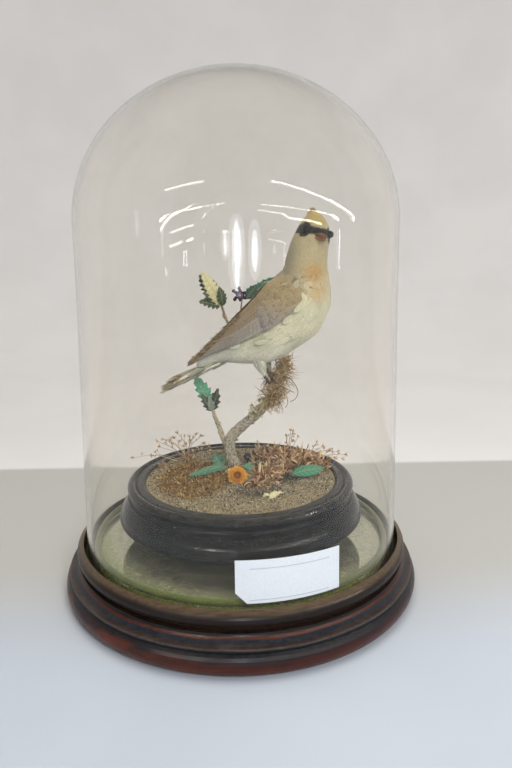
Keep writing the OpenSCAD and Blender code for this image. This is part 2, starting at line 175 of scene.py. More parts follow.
def tube(heap, path, radius, sides=8, shade=(1, 1, 1), bumps=None):
    """A closed round rod along path; radius is one number or one per point."""
    path = np.asarray(path, float)
    t = unit(np.gradient(path, axis=0))
    ref = np.array([0.0, 1.0, 0.0]) if abs(t[:, 1]).mean() < 0.8 else np.array([1.0, 0.0, 0.0])
    s = unit(np.cross(ref, t))
    b = np.cross(t, s)
    a = circle(sides)
    out = np.cos(a)[None, :, None] * s[:, None] + np.sin(a)[None, :, None] * b[:, None]
    r = np.broadcast_to(radius, len(path))[:, None, None]
    p = path[:, None] + out * r
    if bumps:
        p = p + out * bumps(p)[..., None]
    heap.grids(p, shade, closed=True, caps=True)


FIBRE_SIDES = 3
WANDER = 0.35


def hairs(heap, start, heading, length, radius, shade, curl=1.0, steps=8):
    """Many thin bent fibres at once."""
    k = len(start)
    heading = unit(heading)
    axis = unit(np.cross(heading, jitter(k)))
    turn = (curl * draw.uniform(-1, 1, (k, 1))) / steps
    points = [np.array(start, float)]
    length = np.broadcast_to(length, k)[:, None]
    for _ in range(steps):
        points.append(points[-1] + heading * length / steps)
        heading = unit(spin(heading, axis, turn) + jitter(k) * WANDER / steps)
    path = np.stack(points, axis=1)
    t = unit(np.gradient(path, axis=1))
    s = unit(np.cross(t, np.where(abs(t[..., 2:]) > 0.9, [[[1.0, 0, 0]]], [[[0, 0, 1.0]]])))
    b = np.cross(t, s)
    a = circle(FIBRE_SIDES)
    taper = (1 - 0.6 * np.linspace(0, 1, steps + 1) ** 2)[None, :, None, None]
    r = np.broadcast_to(radius, k)[:, None, None, None] * taper
    ring = np.cos(a)[None, None, :, None] * s[:, :, None] + np.sin(a)[None, None, :, None] * b[:, :, None]
    heap.grids(path[:, :, None] + ring * r, np.asarray(shade)[:, None, None, :], closed=True, caps=True)


HOLLOW = 0.25


def ribbons(heap, start, heading, face, length, width, shade, curl, twist=0.0, steps=7):
    """Many curled strips at once, each a little hollow across; used for dry strips and short fibres."""
    k = len(start)
    heading = unit(heading)
    side = unit(np.cross(heading, face))
    normal = np.cross(side, heading)
    curl = np.broadcast_to(curl, k)[:, None] / steps
    twist = np.broadcast_to(twist, k)[:, None] / steps
    length = np.broadcast_to(length, k)[:, None] / steps
    width = np.broadcast_to(width, k)[:, None]
    centre = np.array(start, float)
    rows = []
    for i in range(steps + 1):
        w = width * (0.35 + 0.65 * math.sin(math.pi * (0.12 + 0.8 * i / steps)))
        rows.append(np.stack([centre - side * w / 2, centre - normal * w * HOLLOW, centre + side * w / 2],
                             axis=1))
        centre = centre + heading * length
        heading = unit(spin(heading, side, curl))
        normal = unit(np.cross(side, heading))
        side = unit(spin(side, heading, twist))
    p = np.stack(rows, axis=1)
    flow = xyz([-1, 0, 1], np.linspace(0, 1, steps + 1)[:, None], draw.uniform(size=(k, 1, 1)))
    heap.grids(p, np.asarray(shade)[:, None, None, :], flow)


def blade(heap, foot, tip, width, face, shade, under=None, bend=0.0, cup=0.0, teeth=0, bite=0.3, fullness=0.8,
          thick=0.3, rows=26, cols=9, ripple=0.0):
    """A leaf, bract or petal with a thickness, from foot to tip; face is the way its upper side looks."""
    foot = np.asarray(foot, float)
    t = unit(np.asarray(tip, float) - foot)
    s = unit(np.cross(face, t))
    n = np.cross(t, s)
    length = np.linalg.norm(np.asarray(tip, float) - foot)
    rows = max(rows, teeth * 8)
    u = np.linspace(0, 1, rows)[:, None]
    w = np.linspace(-1, 1, cols)[None, :]
    half = width / 2 * np.maximum(np.sin(np.pi * u**fullness), 0) ** 0.75 + 0.12
    if teeth:
        saw = (u * teeth) % 1.0
        half = half * (1 + bite * (saw**1.5 - 0.35))
    lift = bend * 4 * u * (1 - u) + cup * abs(w) ** 1.6 * np.sin(np.pi * u)
    lift = lift + ripple * np.sin(u * teeth * 2 * np.pi + 1.3 * np.sign(w)) * abs(w) ** 2
    groove = -0.18 * thick * np.exp(-((w / 0.16) ** 2))
    p = foot + t * length * u[..., None] + s * (half * w)[..., None] + n * (lift + groove)[..., None]
    back = p - n * thick
    ring = np.concatenate([p, back[:, ::-1]], axis=1)
    flow = xyz(np.concatenate([w[0], w[0][::-1]]), u, draw.uniform())
    colour = np.broadcast_to(shade, ring.shape).copy()
    if under is not None:
        colour[:, cols:] = under
    heap.grids(ring, colour, flow, closed=True, caps=True)


# ---- materials ----


class Graph:
    """A short way to write one procedural material around a Principled shader."""

    def __init__(self, name):
        self.material = bpy.data.materials.new(name)
        self.material.use_nodes = True
        self.nodes = self.material.node_tree.nodes
        self.links = self.material.node_tree.links
        self.nodes.clear()
        self.out = self.add("ShaderNodeOutputMaterial")
        self.shader = self.add("ShaderNodeBsdfPrincipled")
        self.links.new(self.shader.outputs[0], self.out.inputs[0])

    def add(self, kind, **settings):
        node = self.nodes.new(kind)
        for key, value in settings.items():
            setattr(node, key, value)
        return node

    def put(self, socket, value):
        if isinstance(value, bpy.types.NodeSocket):
            self.links.new(value, socket)
        elif hasattr(socket.default_value, "__len__") and len(socket.default_value) == 4:
            socket.default_value = four(value[:3])
        else:
            socket.default_value = value

    def set(self, **values):
        for key, value in values.items():
            self.put(self.shader.inputs[key.replace("_", " ")], value)

    def place(self, x=1.0, y=1.0, z=1.0):
        """Object coordinates in millimetres, stretched per axis."""
        scaled = self.add("ShaderNodeMapping")
        scaled.inputs["Scale"].default_value = (x / MM, y / MM, z / MM)
        self.links.new(self.add("ShaderNodeTexCoord").outputs["Object"], scaled.inputs[0])
        return scaled.outputs[0]

    def split(self, vector):
        return self.node_outputs("ShaderNodeSeparateXYZ", vector)

    def node_outputs(self, kind, value):
        node = self.add(kind)
        self.links.new(value, node.inputs[0])
        return node.outputs

    def noise(self, where, scale, detail=4.0, roughness=0.55, distortion=0.0):
        node = self.add("ShaderNodeTexNoise")
        for key, value in (("Vector", where), ("Scale", scale), ("Detail", detail), ("Roughness", roughness),
                           ("Distortion", distortion)):
            self.put(node.inputs[key], value)
        return node.outputs[0]

    def cells(self, where, scale, feature="F1"):
        node = self.add("ShaderNodeTexVoronoi", feature=feature)
        self.put(node.inputs["Vector"], where)
        self.put(node.inputs["Scale"], scale)
        return node.outputs["Distance"]

    def math(self, op, a, b=0.0, clamp=False):
        node = self.add("ShaderNodeMath", operation=op, use_clamp=clamp)
        self.put(node.inputs[0], a)
        self.put(node.inputs[1], b)
        return node.outputs[0]

    def times(self, a, b):
        return self.math("MULTIPLY", a, b)

    def plus(self, a, b, clamp=False):
        return self.math("ADD", a, b, clamp)

    def span(self, value, low, high, to_low=0.0, to_high=1.0):
        """Maps low..high to to_low..to_high with soft ends."""
        node = self.add("ShaderNodeMapRange", interpolation_type="SMOOTHSTEP")
        for socket, number in zip(node.inputs, (value, low, high, to_low, to_high)):
            self.put(socket, number)
        return node.outputs[0]

    def mix(self, share, a, b, blend="MIX"):
        node = self.add("ShaderNodeMix", data_type="RGBA", blend_type=blend, clamp_factor=True)
        for index, value in ((0, share), (6, a), (7, b)):
            self.put(node.inputs[index], value)
        return node.outputs[2]

    def over(self, colour, share, strength, code):
        """Lays a hex colour over another, by share times strength."""
        return self.mix(self.times(share, strength), colour, rgb(code))

    def dim(self, colour, value):
        """A colour multiplied by one number."""
        return self.mix(1.0, colour, grey(self, value), "MULTIPLY")

    def ramp(self, value, *stops):
        node = self.add("ShaderNodeValToRGB")
        elements = node.color_ramp.elements
        while len(elements) < len(stops):
            elements.new(0.5)
        for element, (position, colour) in zip(elements, stops):
            element.position = position
            element.color = four(colour)
        self.put(node.inputs[0], value)
        return node.outputs[0]

    def shade(self):
        return self.add("ShaderNodeAttribute", attribute_name="shade").outputs["Color"]

    def flow(self):
        vector = self.add("ShaderNodeAttribute", attribute_name="flow").outputs["Vector"]
        return self.split(vector)

    def normal_z(self):
        return self.split(self.add("ShaderNodeNewGeometry").outputs["Normal"])[2]

    def bump(self, height, strength, depth):
        """depth is in millimetres."""
        node = self.add("ShaderNodeBump")
        node.inputs["Strength"].default_value = strength
        node.inputs["Distance"].default_value = depth * MM
        self.put(node.inputs["Height"], height)
        self.put(self.shader.inputs["Normal"], node.outputs[0])


def tinted(name, speckle=2.0, depth=0.15, roughness=0.8, darker=0.72, lighter=1.18, sheen=0.0):
    """A dry matt material whose colour comes from the piece, broken up by noise."""
    g = Graph(name)
    where = g.place()
    fine = g.noise(where, speckle, 5.0, 0.65)
    value = g.span(fine, 0.3, 0.72, darker, lighter)
    g.set(Base_Color=g.dim(g.shade(), value))
    g.set(Roughness=g.span(fine, 0.3, 0.7, roughness, min(1.0, roughness + 0.15)))
    g.set(Specular_IOR_Level=0.3)
    if sheen:
        g.set(Sheen_Weight=sheen, Sheen_Roughness=0.4)
    g.bump(fine, 0.7, depth)
    return g.material


def grey(g, value):
    """A grey colour from one number."""
    node = g.add("ShaderNodeCombineColor")
    for socket in node.inputs[:3]:
        g.links.new(value, socket)
    return node.outputs[0]


def wood_of_base():
    """Worn dark mahogany: rust-brown where rubbed, dust on the lip, a painted blue-grey sheen and painted
    shade in the grooves.
    """
    g = Graph("mahogany_worn_painted_sheen")
    where = g.place()
    x, _, z = g.split(where)
    grain = g.noise(g.place(0.03, 0.5, 0.5), 1.6, 6.0, 0.6, 0.4)
    blotch = g.noise(where, 0.05, 4.0, 0.6)
    level = g.plus(z, g.span(blotch, 0.3, 0.7, -0.3, 0.3))
    # colour by height: the blue-grey bands at 18.5 to 20.1 mm and the faint bluish ones at 13 and 15.6 mm are
    # a painted sheen, the floor's reflection in the polish; the paler band at 16.8 mm is a painted highlight
    # on the fillet; the near-black bands at 15 and 22.9 to 24 mm are painted shade in the grooves
    bands = ((0.5, "4e1e0f"), (4.5, "44190b"), (8.5, "1e1315"), (13, "15151a"), (15, "0b090a"),
             (15.6, "1b1a1f"), (16.8, "4c433f"), (17.7, "3c2e28"), (18.5, "20252d"), (20.1, "222830"),
             (20.8, "58260f"), (22.4, "44190a"), (22.9, "0a0606"), (24, "0a0606"), (25.4, "3e2616"),
             (27.5, "4e3420"), (30.5, "1e1008"), (34.5, "1c0f08"), (35.1, "38281b"), (35.7, "5a4936"))
    body = g.ramp(g.span(level, 0.0, 36.0), *((stop / 36.0, rgb(colour)) for stop, colour in bands))
    body = g.dim(body, g.span(grain, 0.3, 0.7, 0.6, 1.08))
    left = g.span(x, -5.0, -75.0, 0.15, 1.0)
    patchy = g.span(g.noise(g.place(1.0, 1.0, 2.0), 0.06, 4.0), 0.4, 0.6)
    rust = g.times(g.times(left, patchy), g.span(z, 14.5, 11.0))
    body = g.over(body, rust, 0.7, "66290f")
    # painted shade: dark lines in the groove under the upper torus and in the crease between the lower ovolo
    # and the fillet
    groove_shade = g.math("MAXIMUM", g.times(g.span(z, 22.4, 22.8), g.span(z, 24.4, 24.0)),
                  g.times(g.span(z, 14.6, 15.0), g.span(z, 15.6, 15.2)))
    body = g.over(body, groove_shade, 0.8, "070404")
    dusty = g.noise(where, 0.35, 6.0, 0.7)
    dust = g.times(g.span(g.normal_z(), 0.35, 0.95), g.span(dusty, 0.35, 0.75))
    specks = g.span(g.cells(where, 0.4), 0.1, 0.05)
    dust = g.plus(g.times(dust, 0.06), g.times(specks, 0.08), True)
    body = g.mix(dust, body, rgb("9a938a"))
    g.set(Base_Color=body, Roughness=g.plus(g.span(dusty, 0.3, 0.7, 0.3, 0.45), g.times(dust, 0.4)))
    g.set(Specular_IOR_Level=0.2)
    g.set(Coat_Weight=0.12, Coat_Roughness=0.18)
    g.bump(g.plus(grain, g.times(g.noise(where, 0.6, 4.0, 0.5), 0.4)), 0.2, 0.06)
    return g.material


def black_polish():
    """Ebonised wood: nearly black, glossy, with fine turning lines, brown wear on the rim and grey dust."""
    g = Graph("ebonised_polish")
    where = g.place()
    z = g.split(where)[2]
    cloud = g.noise(where, 0.12, 5.0, 0.6)
    body = g.mix(g.span(cloud, 0.35, 0.7), rgb("050404"), rgb("0e0b08"))
    wear = g.times(g.span(z, 66.5, 71.0), g.span(g.noise(where, 0.2, 6.0, 0.7), 0.35, 0.7))
    body = g.over(body, wear, 0.6, "3d372d")
    scratch = g.span(g.noise(g.place(0.05, 0.05, 1.6), 2.0, 3.0), 0.62, 0.75)
    body = g.over(body, scratch, 0.12, "5a5348")
    dusty = g.noise(where, 0.6, 6.0, 0.7)
    dust = g.times(g.span(g.normal_z(), 0.3, 1.0), g.span(dusty, 0.4, 0.8, 0.01, 0.16))
    specks = g.span(g.cells(where, 0.5), 0.1, 0.04)
    dust = g.plus(dust, g.times(specks, 0.2), True)
    body = g.mix(dust, body, rgb("8d877a"))
    g.set(Base_Color=body, Roughness=g.plus(g.span(dusty, 0.3, 0.7, 0.12, 0.22), g.times(dust, 0.5)))
    g.set(Specular_IOR_Level=0.12)
    g.set(Coat_Weight=0.4, Coat_Roughness=0.1)
    g.bump(cloud, 0.03, 0.05)
    return g.material


def clear(name, tint, dust_colour, low_dust, high_dust, dust_scale=0.25, wavy=0.0, low_z=None, index=1.3,
          mossy=False):
    """Clear glass under a film of dust, or of moss and crumbs at the front edge. Lamps and bounced light pass
    straight through it. low_z is the height where extra dust is full, where it ends, and its share."""
    g = Graph(name)
    where = g.place()
    g.set(Base_Color=tint, Roughness=0.0, IOR=index, Transmission_Weight=1.0)
    if wavy:
        g.bump(g.noise(g.place(1.0, 1.0, 0.35), 0.02, 2.0), 1.0, wavy)
    film = g.add("ShaderNodeBsdfDiffuse")
    share = g.span(g.noise(where, dust_scale, 6.0, 0.7), 0.35, 0.75, low_dust, high_dust)
    if mossy:
        x, y = g.split(where)[:2]
        far = g.math("SQRT", g.plus(g.times(x, x), g.times(y, y)))
        front = g.span(g.plus(y, g.times(x, 0.35)), -15.0, -60.0)
        furry = g.span(g.noise(where, 0.5, 6.0, 0.75), 0.3, 0.6, 0.35, 1.0)
        moss = g.times(g.times(g.span(far, 78.0, 99.0), furry), front)
        at_front = g.times(g.span(y, -88.0, -94.0), g.span(g.math("ABSOLUTE", x), 38.0, 20.0))
        crumbs = g.times(g.span(g.cells(where, 0.5), 0.16, 0.1), at_front)
        dust_colour = g.mix(moss, dust_colour, rgb("75862c"))
        dust_colour = g.mix(crumbs, dust_colour, rgb("e6e8de"))
        share = g.plus(share, g.times(moss, 0.55), True)
        share = g.plus(share, g.times(crumbs, 0.5), True)
    g.put(film.inputs[0], dust_colour)
    if low_z:
        z = g.split(where)[2]
        share = g.plus(share, g.span(z, low_z[1], low_z[0], 0.0, low_z[2]), True)
    dusty = g.add("ShaderNodeMixShader")
    g.put(dusty.inputs[0], share)
    g.links.new(g.shader.outputs[0], dusty.inputs[1])
    g.links.new(film.outputs[0], dusty.inputs[2])
    open_way = g.add("ShaderNodeBsdfTransparent")
    g.put(open_way.inputs[0], np.array(tint) ** 0.5)
    path = g.add("ShaderNodeLightPath")
    either = g.math("MAXIMUM", path.outputs["Is Shadow Ray"], path.outputs["Is Diffuse Ray"])
    both = g.add("ShaderNodeMixShader")
    g.links.new(either, both.inputs[0])
    g.links.new(dusty.outputs[0], both.inputs[1])
    g.links.new(open_way.outputs[0], both.inputs[2])
    g.links.new(both.outputs[0], g.out.inputs[0])
    return g.material


def silvering():
    """The silver behind the mirror glass, a little foxed towards its edge."""
    g = Graph("mirror_silver")
    where = g.place()
    x, y = g.split(where)[:2]
    far = g.math("SQRT", g.plus(g.times(x, x), g.times(y, y)))
    spots = g.noise(where, 0.35, 6.0, 0.75)
    edge = g.span(far, 70.0, 101.0)
    fox = g.times(edge, g.span(spots, 0.52, 0.68))
    g.set(Base_Color=g.mix(fox, rgb("e2e3d6"), rgb("5f5a3a")), Metallic=1.0)
    g.set(Roughness=g.span(fox, 0.0, 1.0, 0.02, 0.4))
    return g.material


TURN = 6.283


def feathered(name, lines=9.0, depth=0.12, sheen=0.25, end_shade=0.0):
    """Plumage: the piece's own colours, fine slanting barbs either side of a shaft, and a soft bloom."""
    g = Graph(name)
    across, along = g.flow()[:2]
    side = g.math("ABSOLUTE", across)
    phase = g.plus(g.times(along, lines * TURN), g.times(side, -5.0))
    barbs = g.math("SINE", phase)
    where = g.place()
    mottle = g.noise(where, 0.9, 4.0, 0.6)
    value = g.plus(g.span(mottle, 0.3, 0.7, 0.93, 1.06), g.times(barbs, 0.05))
    value = g.times(value, g.span(side, 0.55, 1.0, 1.0, 1.1))
    # darker feather ends: painted shade standing for the gaps between overlapping feathers
    value = g.times(value, g.span(along, 0.7, 0.98, 1.0, 1.0 - end_shade))
    shaft = g.span(side, 0.1, 0.03)
    colour = g.dim(g.shade(), value)
    colour = g.over(colour, shaft, 0.25, "8a7350")
    g.set(Base_Color=colour, Roughness=0.75)
    g.set(Sheen_Weight=sheen, Sheen_Roughness=0.5)
    g.set(Specular_IOR_Level=0.25)
    g.bump(g.plus(barbs, g.times(shaft, 2.0)), 0.5, depth)
    return g.material


def leafy():
    """A dyed dry leaf: veins from the midrib, fuzzy mottling and paler worn spots."""
    g = Graph("dyed_leaf")
    across, along = g.flow()[:2]
    side = g.math("ABSOLUTE", across)
    ribs = g.math("SINE", g.plus(g.times(along, 42.0), g.times(side, -7.0)))
    middle = g.span(side, 0.16, 0.04)
    where = g.place()
    mottle = g.noise(where, 1.3, 5.0, 0.7)
    value = g.span(mottle, 0.28, 0.72, 0.62, 1.3)
    colour = g.dim(g.shade(), value)
    colour = g.mix(g.times(g.span(ribs, 0.5, 1.0), 0.22), colour, rgb("b9bd93"))
    colour = g.over(colour, middle, 0.45, "a39a68")
    worn = g.span(g.noise(where, 0.5, 4.0), 0.6, 0.72)
    colour = g.over(colour, worn, 0.35, "a9a283")
    g.set(Base_Color=colour, Roughness=g.span(mottle, 0.3, 0.7, 0.55, 0.8), Sheen_Weight=0.3,
          Sheen_Roughness=0.5)
    g.bump(g.plus(mottle, g.plus(g.times(ribs, 0.15), middle)), 0.6, 0.25)
    return g.material


def barky():
    """Pale grey bark with white crusts, pits darkened with painted shade and a few yellow spots."""
    g = Graph("bark_pale")
    where = g.place()
    pits = g.cells(where, 0.9)
    fibre = g.noise(where, 1.1, 6.0, 0.7, 0.5)
    colour = g.mix(g.span(fibre, 0.3, 0.7), rgb("9c9280"), rgb("ddd5c0"))
    colour = g.mix(1.0, colour, g.mix(0.6, (1, 1, 1), g.shade()), "MULTIPLY")
    crust = g.span(g.cells(where, 0.55), 0.3, 0.16)
    colour = g.over(colour, crust, 0.75, "dcd8c8")
    # painted shade: dark cell patches stand for the shade in the bark's pits
    colour = g.mix(g.times(g.span(g.cells(where, 0.8, "F2"), 0.75, 0.95), 0.7), colour,
                   rgb("4a4136"))
    yellow = g.span(g.noise(where, 0.4, 3.0), 0.62, 0.7)
    colour = g.over(colour, yellow, 0.5, "b9a45f")
    g.set(Base_Color=colour, Roughness=0.88)
    g.bump(g.plus(fibre, g.times(pits, 0.6)), 0.9, 0.4)
    return g.material


def shiny(name, dark, light, roughness, scale=0.8, coat=0.0, depth=0.05):
    """A smooth hard material in two close colours, such as horn, wire or a berry."""
    g = Graph(name)
    cloud = g.noise(g.place(), scale, 4.0, 0.6)
    g.set(Base_Color=g.mix(g.span(cloud, 0.3, 0.7), dark, light))
    g.set(Roughness=g.span(cloud, 0.3, 0.7, roughness * 0.8, roughness * 1.3))
    if coat:
        g.set(Coat_Weight=coat, Coat_Roughness=0.05)
    g.bump(cloud, 0.4, depth)
    return g


def dress(name, material):
    """A better material on a CAD part that keeps its shape."""
    for index in range(max(1, len(cad[name].material_slots))):
        if len(cad[name].material_slots) == 0:
            cad[name].data.materials.append(material)
        else:
            cad[name].material_slots[index].material = material


# ---- CAD parts that keep their shape ----

dress("turned_base", wood_of_base())
dress("inner_plinth", black_polish())
dress("plinth_feet", black_polish())
dress("mirror_plate", clear("mirror_glass", rgb("f0f3e4"), rgb("cfc8a6"), 0.06, 0.34, 0.3, index=1.47,
                            mossy=True))
dress("mirror_backing", shiny("backing_board", rgb("4b3820"), rgb("6d5534"), 0.8, 0.3).material)
dress("underside_baize", shiny("baize_green", rgb("16341d"), rgb("2a5a33"), 0.95, 2.5, depth=0.3).material)
dress("groove_felt", shiny("felt_dark", rgb("10120a"), rgb("22261a"), 0.95, 2.0, depth=0.3).material)
steel = shiny("steel_wire", rgb("55504a"), rgb("8a847b"), 0.35, 1.5)
steel.set(Metallic=1.0)
for wire in ("branch_nail", "leg_wires", "neck_wire"):
    dress(wire, steel.material)
dress("wood_wool_body", shiny("wood_wool", rgb("8a6a3c"), rgb("c3a065"), 0.85, 2.2, depth=0.5).material)
dress("glass_eyes", shiny("black_glass_eye", rgb("030202"), rgb("0a0706"), 0.06, 0.3, coat=0.3,
                          depth=0.0).material)


def paper():
    """A blank white sale label with two thin ruled lines."""
    g = Graph("label_paper")
    where = g.place()
    x, _, z = g.split(where)
    fibre = g.noise(where, 1.2, 5.0, 0.6)
    colour = g.mix(g.span(fibre, 0.3, 0.7), rgb("dde1e6"), rgb("e8ebee"))
    inset = g.times(g.span(x, 4.0, 4.4), g.span(x, 48.4, 48.0))
    bar = g.times(g.span(z, 56.6, 56.8), g.span(z, 57.3, 57.1))
    rule = g.times(g.span(z, 38.6, 38.8), g.span(z, 39.3, 39.1))
    lines = g.times(g.math("MAXIMUM", bar, rule), inset)
    colour = g.over(colour, lines, 0.55, "8d949d")
    g.set(Base_Color=colour, Roughness=0.38)
    g.bump(fibre, 0.15, 0.05)
    return g.material


dress("paper_label", paper())

DOME_R = 105.5
DOME_NECK_R = 101.0
DOME_WALL = 2.6
CROWN_Z = 239.0
CROWN_H = 91.5
FOOT_Z = 28.0
LIP_R = DOME_WALL / 2
# height over which the tapered wall eases into the crown
BLEND = 60.0


def dome_profile(inset):
    """Radius and height of one face of the glass, from the crown down to just above the rim."""
    taper = (DOME_R - DOME_NECK_R) / (CROWN_Z - FOOT_Z - 1)
    neck = DOME_NECK_R + taper * BLEND / 2 - inset
    a = np.linspace(np.pi / 2 - 0.004, 0, 90)
    top = np.stack([neck * np.cos(a), CROWN_Z + (CROWN_H - inset) * np.sin(a)], axis=-1)
    down = np.linspace(0, CROWN_Z - FOOT_Z - LIP_R, 60)[1:]
    r = np.where(down < BLEND, neck + taper * down**2 / (2 * BLEND), neck + taper * (down - BLEND / 2))
    return np.vstack([top, np.stack([r, CROWN_Z - down], axis=-1)])


shell = Heap()
a = np.linspace(0, np.pi, 9)[1:-1]
rim = np.stack([DOME_R - LIP_R + LIP_R * np.cos(a), FOOT_Z + LIP_R - LIP_R * np.sin(a)], axis=-1)
profile = np.vstack([dome_profile(0), rim, dome_profile(DOME_WALL)[::-1]])
a = circle(256)
shell.grids(xyz(profile[:, :1] * np.cos(a), profile[:, :1] * np.sin(a), profile[:, 1:] + 0 * a)[:, ::-1],
            closed=True, caps=True)
shell.make("dome_glass_shell", clear("dome_glass", (0.972, 0.963, 0.935), rgb("cfc8b8"), 0.002, 0.012, 0.12,
                                     wavy=0.015, low_z=(30.0, 60.0, 0.02)), body="dome",
           replaces=["glass_dome"])

disc = Heap()
around = circle(128)
SILVER_R = 100.3
SILVER_TOP = 29.1
silver_rings = ((SILVER_R, SILVER_TOP - 0.08), (SILVER_R, SILVER_TOP), (60, SILVER_TOP), (0.2, SILVER_TOP))
disc.grids(np.stack([xyz(r * np.cos(around), r * np.sin(around), z) for r, z in silver_rings]), closed=True,
           caps=True)
disc.make("mirror_silver_layer", silvering(), smooth=False)

# ---- sand, brown moss and the dry heap ----

GROUND = 72.0
SAND_R = 65.1
sand_look = tinted("sand_grains", 1.6, 0.25, 0.85, 0.75, 1.2)


def ground_height(x, y):
    """Height of the sand, a little lower at the edge."""
    r = np.hypot(x, y)
    return GROUND - 1.6 * np.clip((r - 20) / 45, 0, 1) ** 2.2


FLOWER = np.array([-2.2, -15.6, 76.8])
SAND = palette("94866a 786a50 ab9e7e 5c503c c8bea2 807a66 443a2c")
BROWN = palette("a48450 826238 b89862 5c4426 c8ac78 8c6a3c")
DRY = palette("b89468 9c7850 cfae84 c09a78 8a6642 dcc49c c9a98c")
MOSS_GREY = palette("857a66 6a604e a3977e 7c745c bcb09a 9a7f66")
TOW = palette("b48e4e cfaa68 8c6a36 bf9a5a 745428 dcbf88")


def in_brown_patch(x, y):
    """How much of the brown moss lies at a place, 0 to 1."""
    a = 1 - np.hypot((x + 32) / 26, (y + 7) / 37) ** 2
    b = 1 - np.hypot((x + 12) / 16, (y - 3) / 18) ** 2
    return np.clip(np.maximum(a, b) * 2.2, 0, 1)


sand = Heap()
radii = np.concatenate([[0.05], np.linspace(1.2, SAND_R, 74)])
turns = circle(200)
gx = radii[:, None] * np.cos(turns)
gy = radii[:, None] * np.sin(turns)
gz = ground_height(gx, gy)
top = xyz(gx, gy, gz)
top[..., 2] += (0.35 * rough(top, 0.16) + 0.18 * rough(top, 0.7, 2)) * (radii[:, None] < 64.5)
patchy = in_brown_patch(gx, gy)[..., None] * np.clip(0.6 + rough(top, 0.12)[..., None], 0, 1)
shade = SAND[0] * (1 - patchy) * (1 + 0.12 * rough(top, 0.08)[..., None]) + BROWN[0] * patchy
walls = np.stack([xyz(SAND_R * np.cos(turns), SAND_R * np.sin(turns), z) for z in (68.0, 66.1)])
sand.grids(np.concatenate([top, walls]), np.concatenate([shade, np.broadcast_to(SAND[1], walls.shape)]),
           closed=True, caps=True)
sand.make("sand_ground", sand_look, replaces=["groundwork"])


def scattered(count, radius=64.6):
    """Random places on the ground."""
    a = draw.uniform(0, 2 * np.pi, count)
    r = radius * np.sqrt(draw.uniform(size=count))
    return r * np.cos(a), r * np.sin(a)


OCTA = np.array([[1, 0, 0], [0, 1, 0], [-1, 0, 0], [0, -1, 0], [0, 0, 1], [0, 0, -1]], float)
OCTA_FACES = [[0, 1, 4], [1, 2, 4], [2, 3, 4], [3, 0, 4], [1, 0, 5], [2, 1, 5], [3, 2, 5], [0, 3, 5]]


def grains(heap, x, y, z, size, colours):
    """Small eight-sided grains, each turned and squeezed at random."""
    k = len(x)
    shape = OCTA[None] * draw.uniform(0.55, 1.25, (k, 6, 1)) * draw.uniform(0.6, 1.2, (k, 1, 3))
    axis = unit(draw.normal(size=(k, 1, 3)))
    shape = spin(shape, axis, draw.uniform(0, 6.28, (k, 1, 1)))
    where = xyz(x, y, z)[:, None]
    heap.shapes(where + shape * np.asarray(size)[:, None, None], OCTA_FACES, np.asarray(colours)[:, None])


loose = Heap()
x, y = scattered(15000)
size = draw.uniform(0.22, 0.58, len(x)) * (1 + 0.7 * (draw.uniform(size=len(x)) > 0.96))
colours = pick(SAND, len(x), 0.25)
brownish = (in_brown_patch(x, y) > draw.uniform(size=len(x)))[:, None]
colours = np.where(brownish, pick(BROWN, len(x), 0.25), colours)
grains(loose, x, y, ground_height(x, y) + size * 0.4 + 0.1, size, colours)
loose.make("sand_loose_grains", sand_look, smooth=False)

fibre_look = tinted("dry_fibres", 3.0, 0.1, 0.85, 0.8, 1.15)

moss = Heap()
x, y = scattered(17000)
keep = in_brown_patch(x, y) > draw.uniform(0.05, 0.9, len(x))
x = x[keep]
y = y[keep]
lump = in_brown_patch(x, y) * (1.1 + 1.2 * rough(xyz(x, y, 0 * x), 0.13))
z = ground_height(x, y) + 0.25 + np.clip(lump, 0, 3) * draw.uniform(0.3, 1, len(x))
turn = draw.uniform(0, 2 * np.pi, len(x))
lean = xyz(np.cos(turn), np.sin(turn), draw.uniform(-0.1, 0.75, len(x)))
ribbons(moss, xyz(x, y, z), lean, [0, 0, 1.0] + 0.3 * jitter(len(x)),
        draw.uniform(1.2, 3.8, len(x)), draw.uniform(0.3, 0.75, len(x)), pick(BROWN, len(x), 0.35),
        draw.uniform(-1.6, 1.6, len(x)), draw.uniform(-1, 1, len(x)), steps=3)
moss.make("brown_moss_fibres", fibre_look, replaces=["moss_patch"])

HEAPS = [(31, 23, 25, 16, 9.0), (20, -6, 12, 15, 5.5), (50, 14, 13, 13, 6.5), (10, -22, 10, 9, 3.5)]


def heap_height(x, y):
    """Height of the dry heap above the ground."""
    return np.max([h * np.clip(1 - ((x - cx) / rx) ** 2 - ((y - cy) / ry) ** 2, 0, 1) ** 0.6
                   for cx, cy, rx, ry, h in HEAPS], axis=0)


mound = Heap()
for cx, cy, rx, ry, h in HEAPS:
    r = np.linspace(0.02, 0.97, 14)[:, None]
    a = circle(40)
    px = cx + rx * r * np.cos(a)
    py = cy + ry * r * np.sin(a)
    p = xyz(px, py, ground_height(px, py) + heap_height(px, py) * 0.55)
    p[..., 2] += 0.9 * rough(p, 0.35) - 0.3
    mound.grids(p, rgb("5d4429") * (1 + 0.4 * rough(p, 0.5)[..., None]), closed=True)
mound.make("dry_heap_core", fibre_look, replaces=["dried_moss_right"])

strips = Heap()
x, y = scattered(5200)
h = heap_height(x, y)
keep = (h > 0.6) & (np.hypot(x - FLOWER[0], y - FLOWER[1]) > np.where(y < -8, 14, 9))
x = x[keep]
y = y[keep]
h = h[keep]
k = len(x)
z = ground_height(x, y) + 0.4 + h * draw.uniform(0.35, 0.95, k)
lean = unit(jitter(k) * [1, 1, 0.75] + [0.15, -0.1, 0.35])
ribbons(strips, xyz(x, y, z), lean, jitter(k), draw.uniform(4, 12, k),
        draw.uniform(0.6, 2.1, k), pick(DRY, k, 0.3), draw.uniform(-3.5, 3.5, k), draw.uniform(-2.5, 2.5, k))
strips.make("dry_heap_strips", fibre_look)


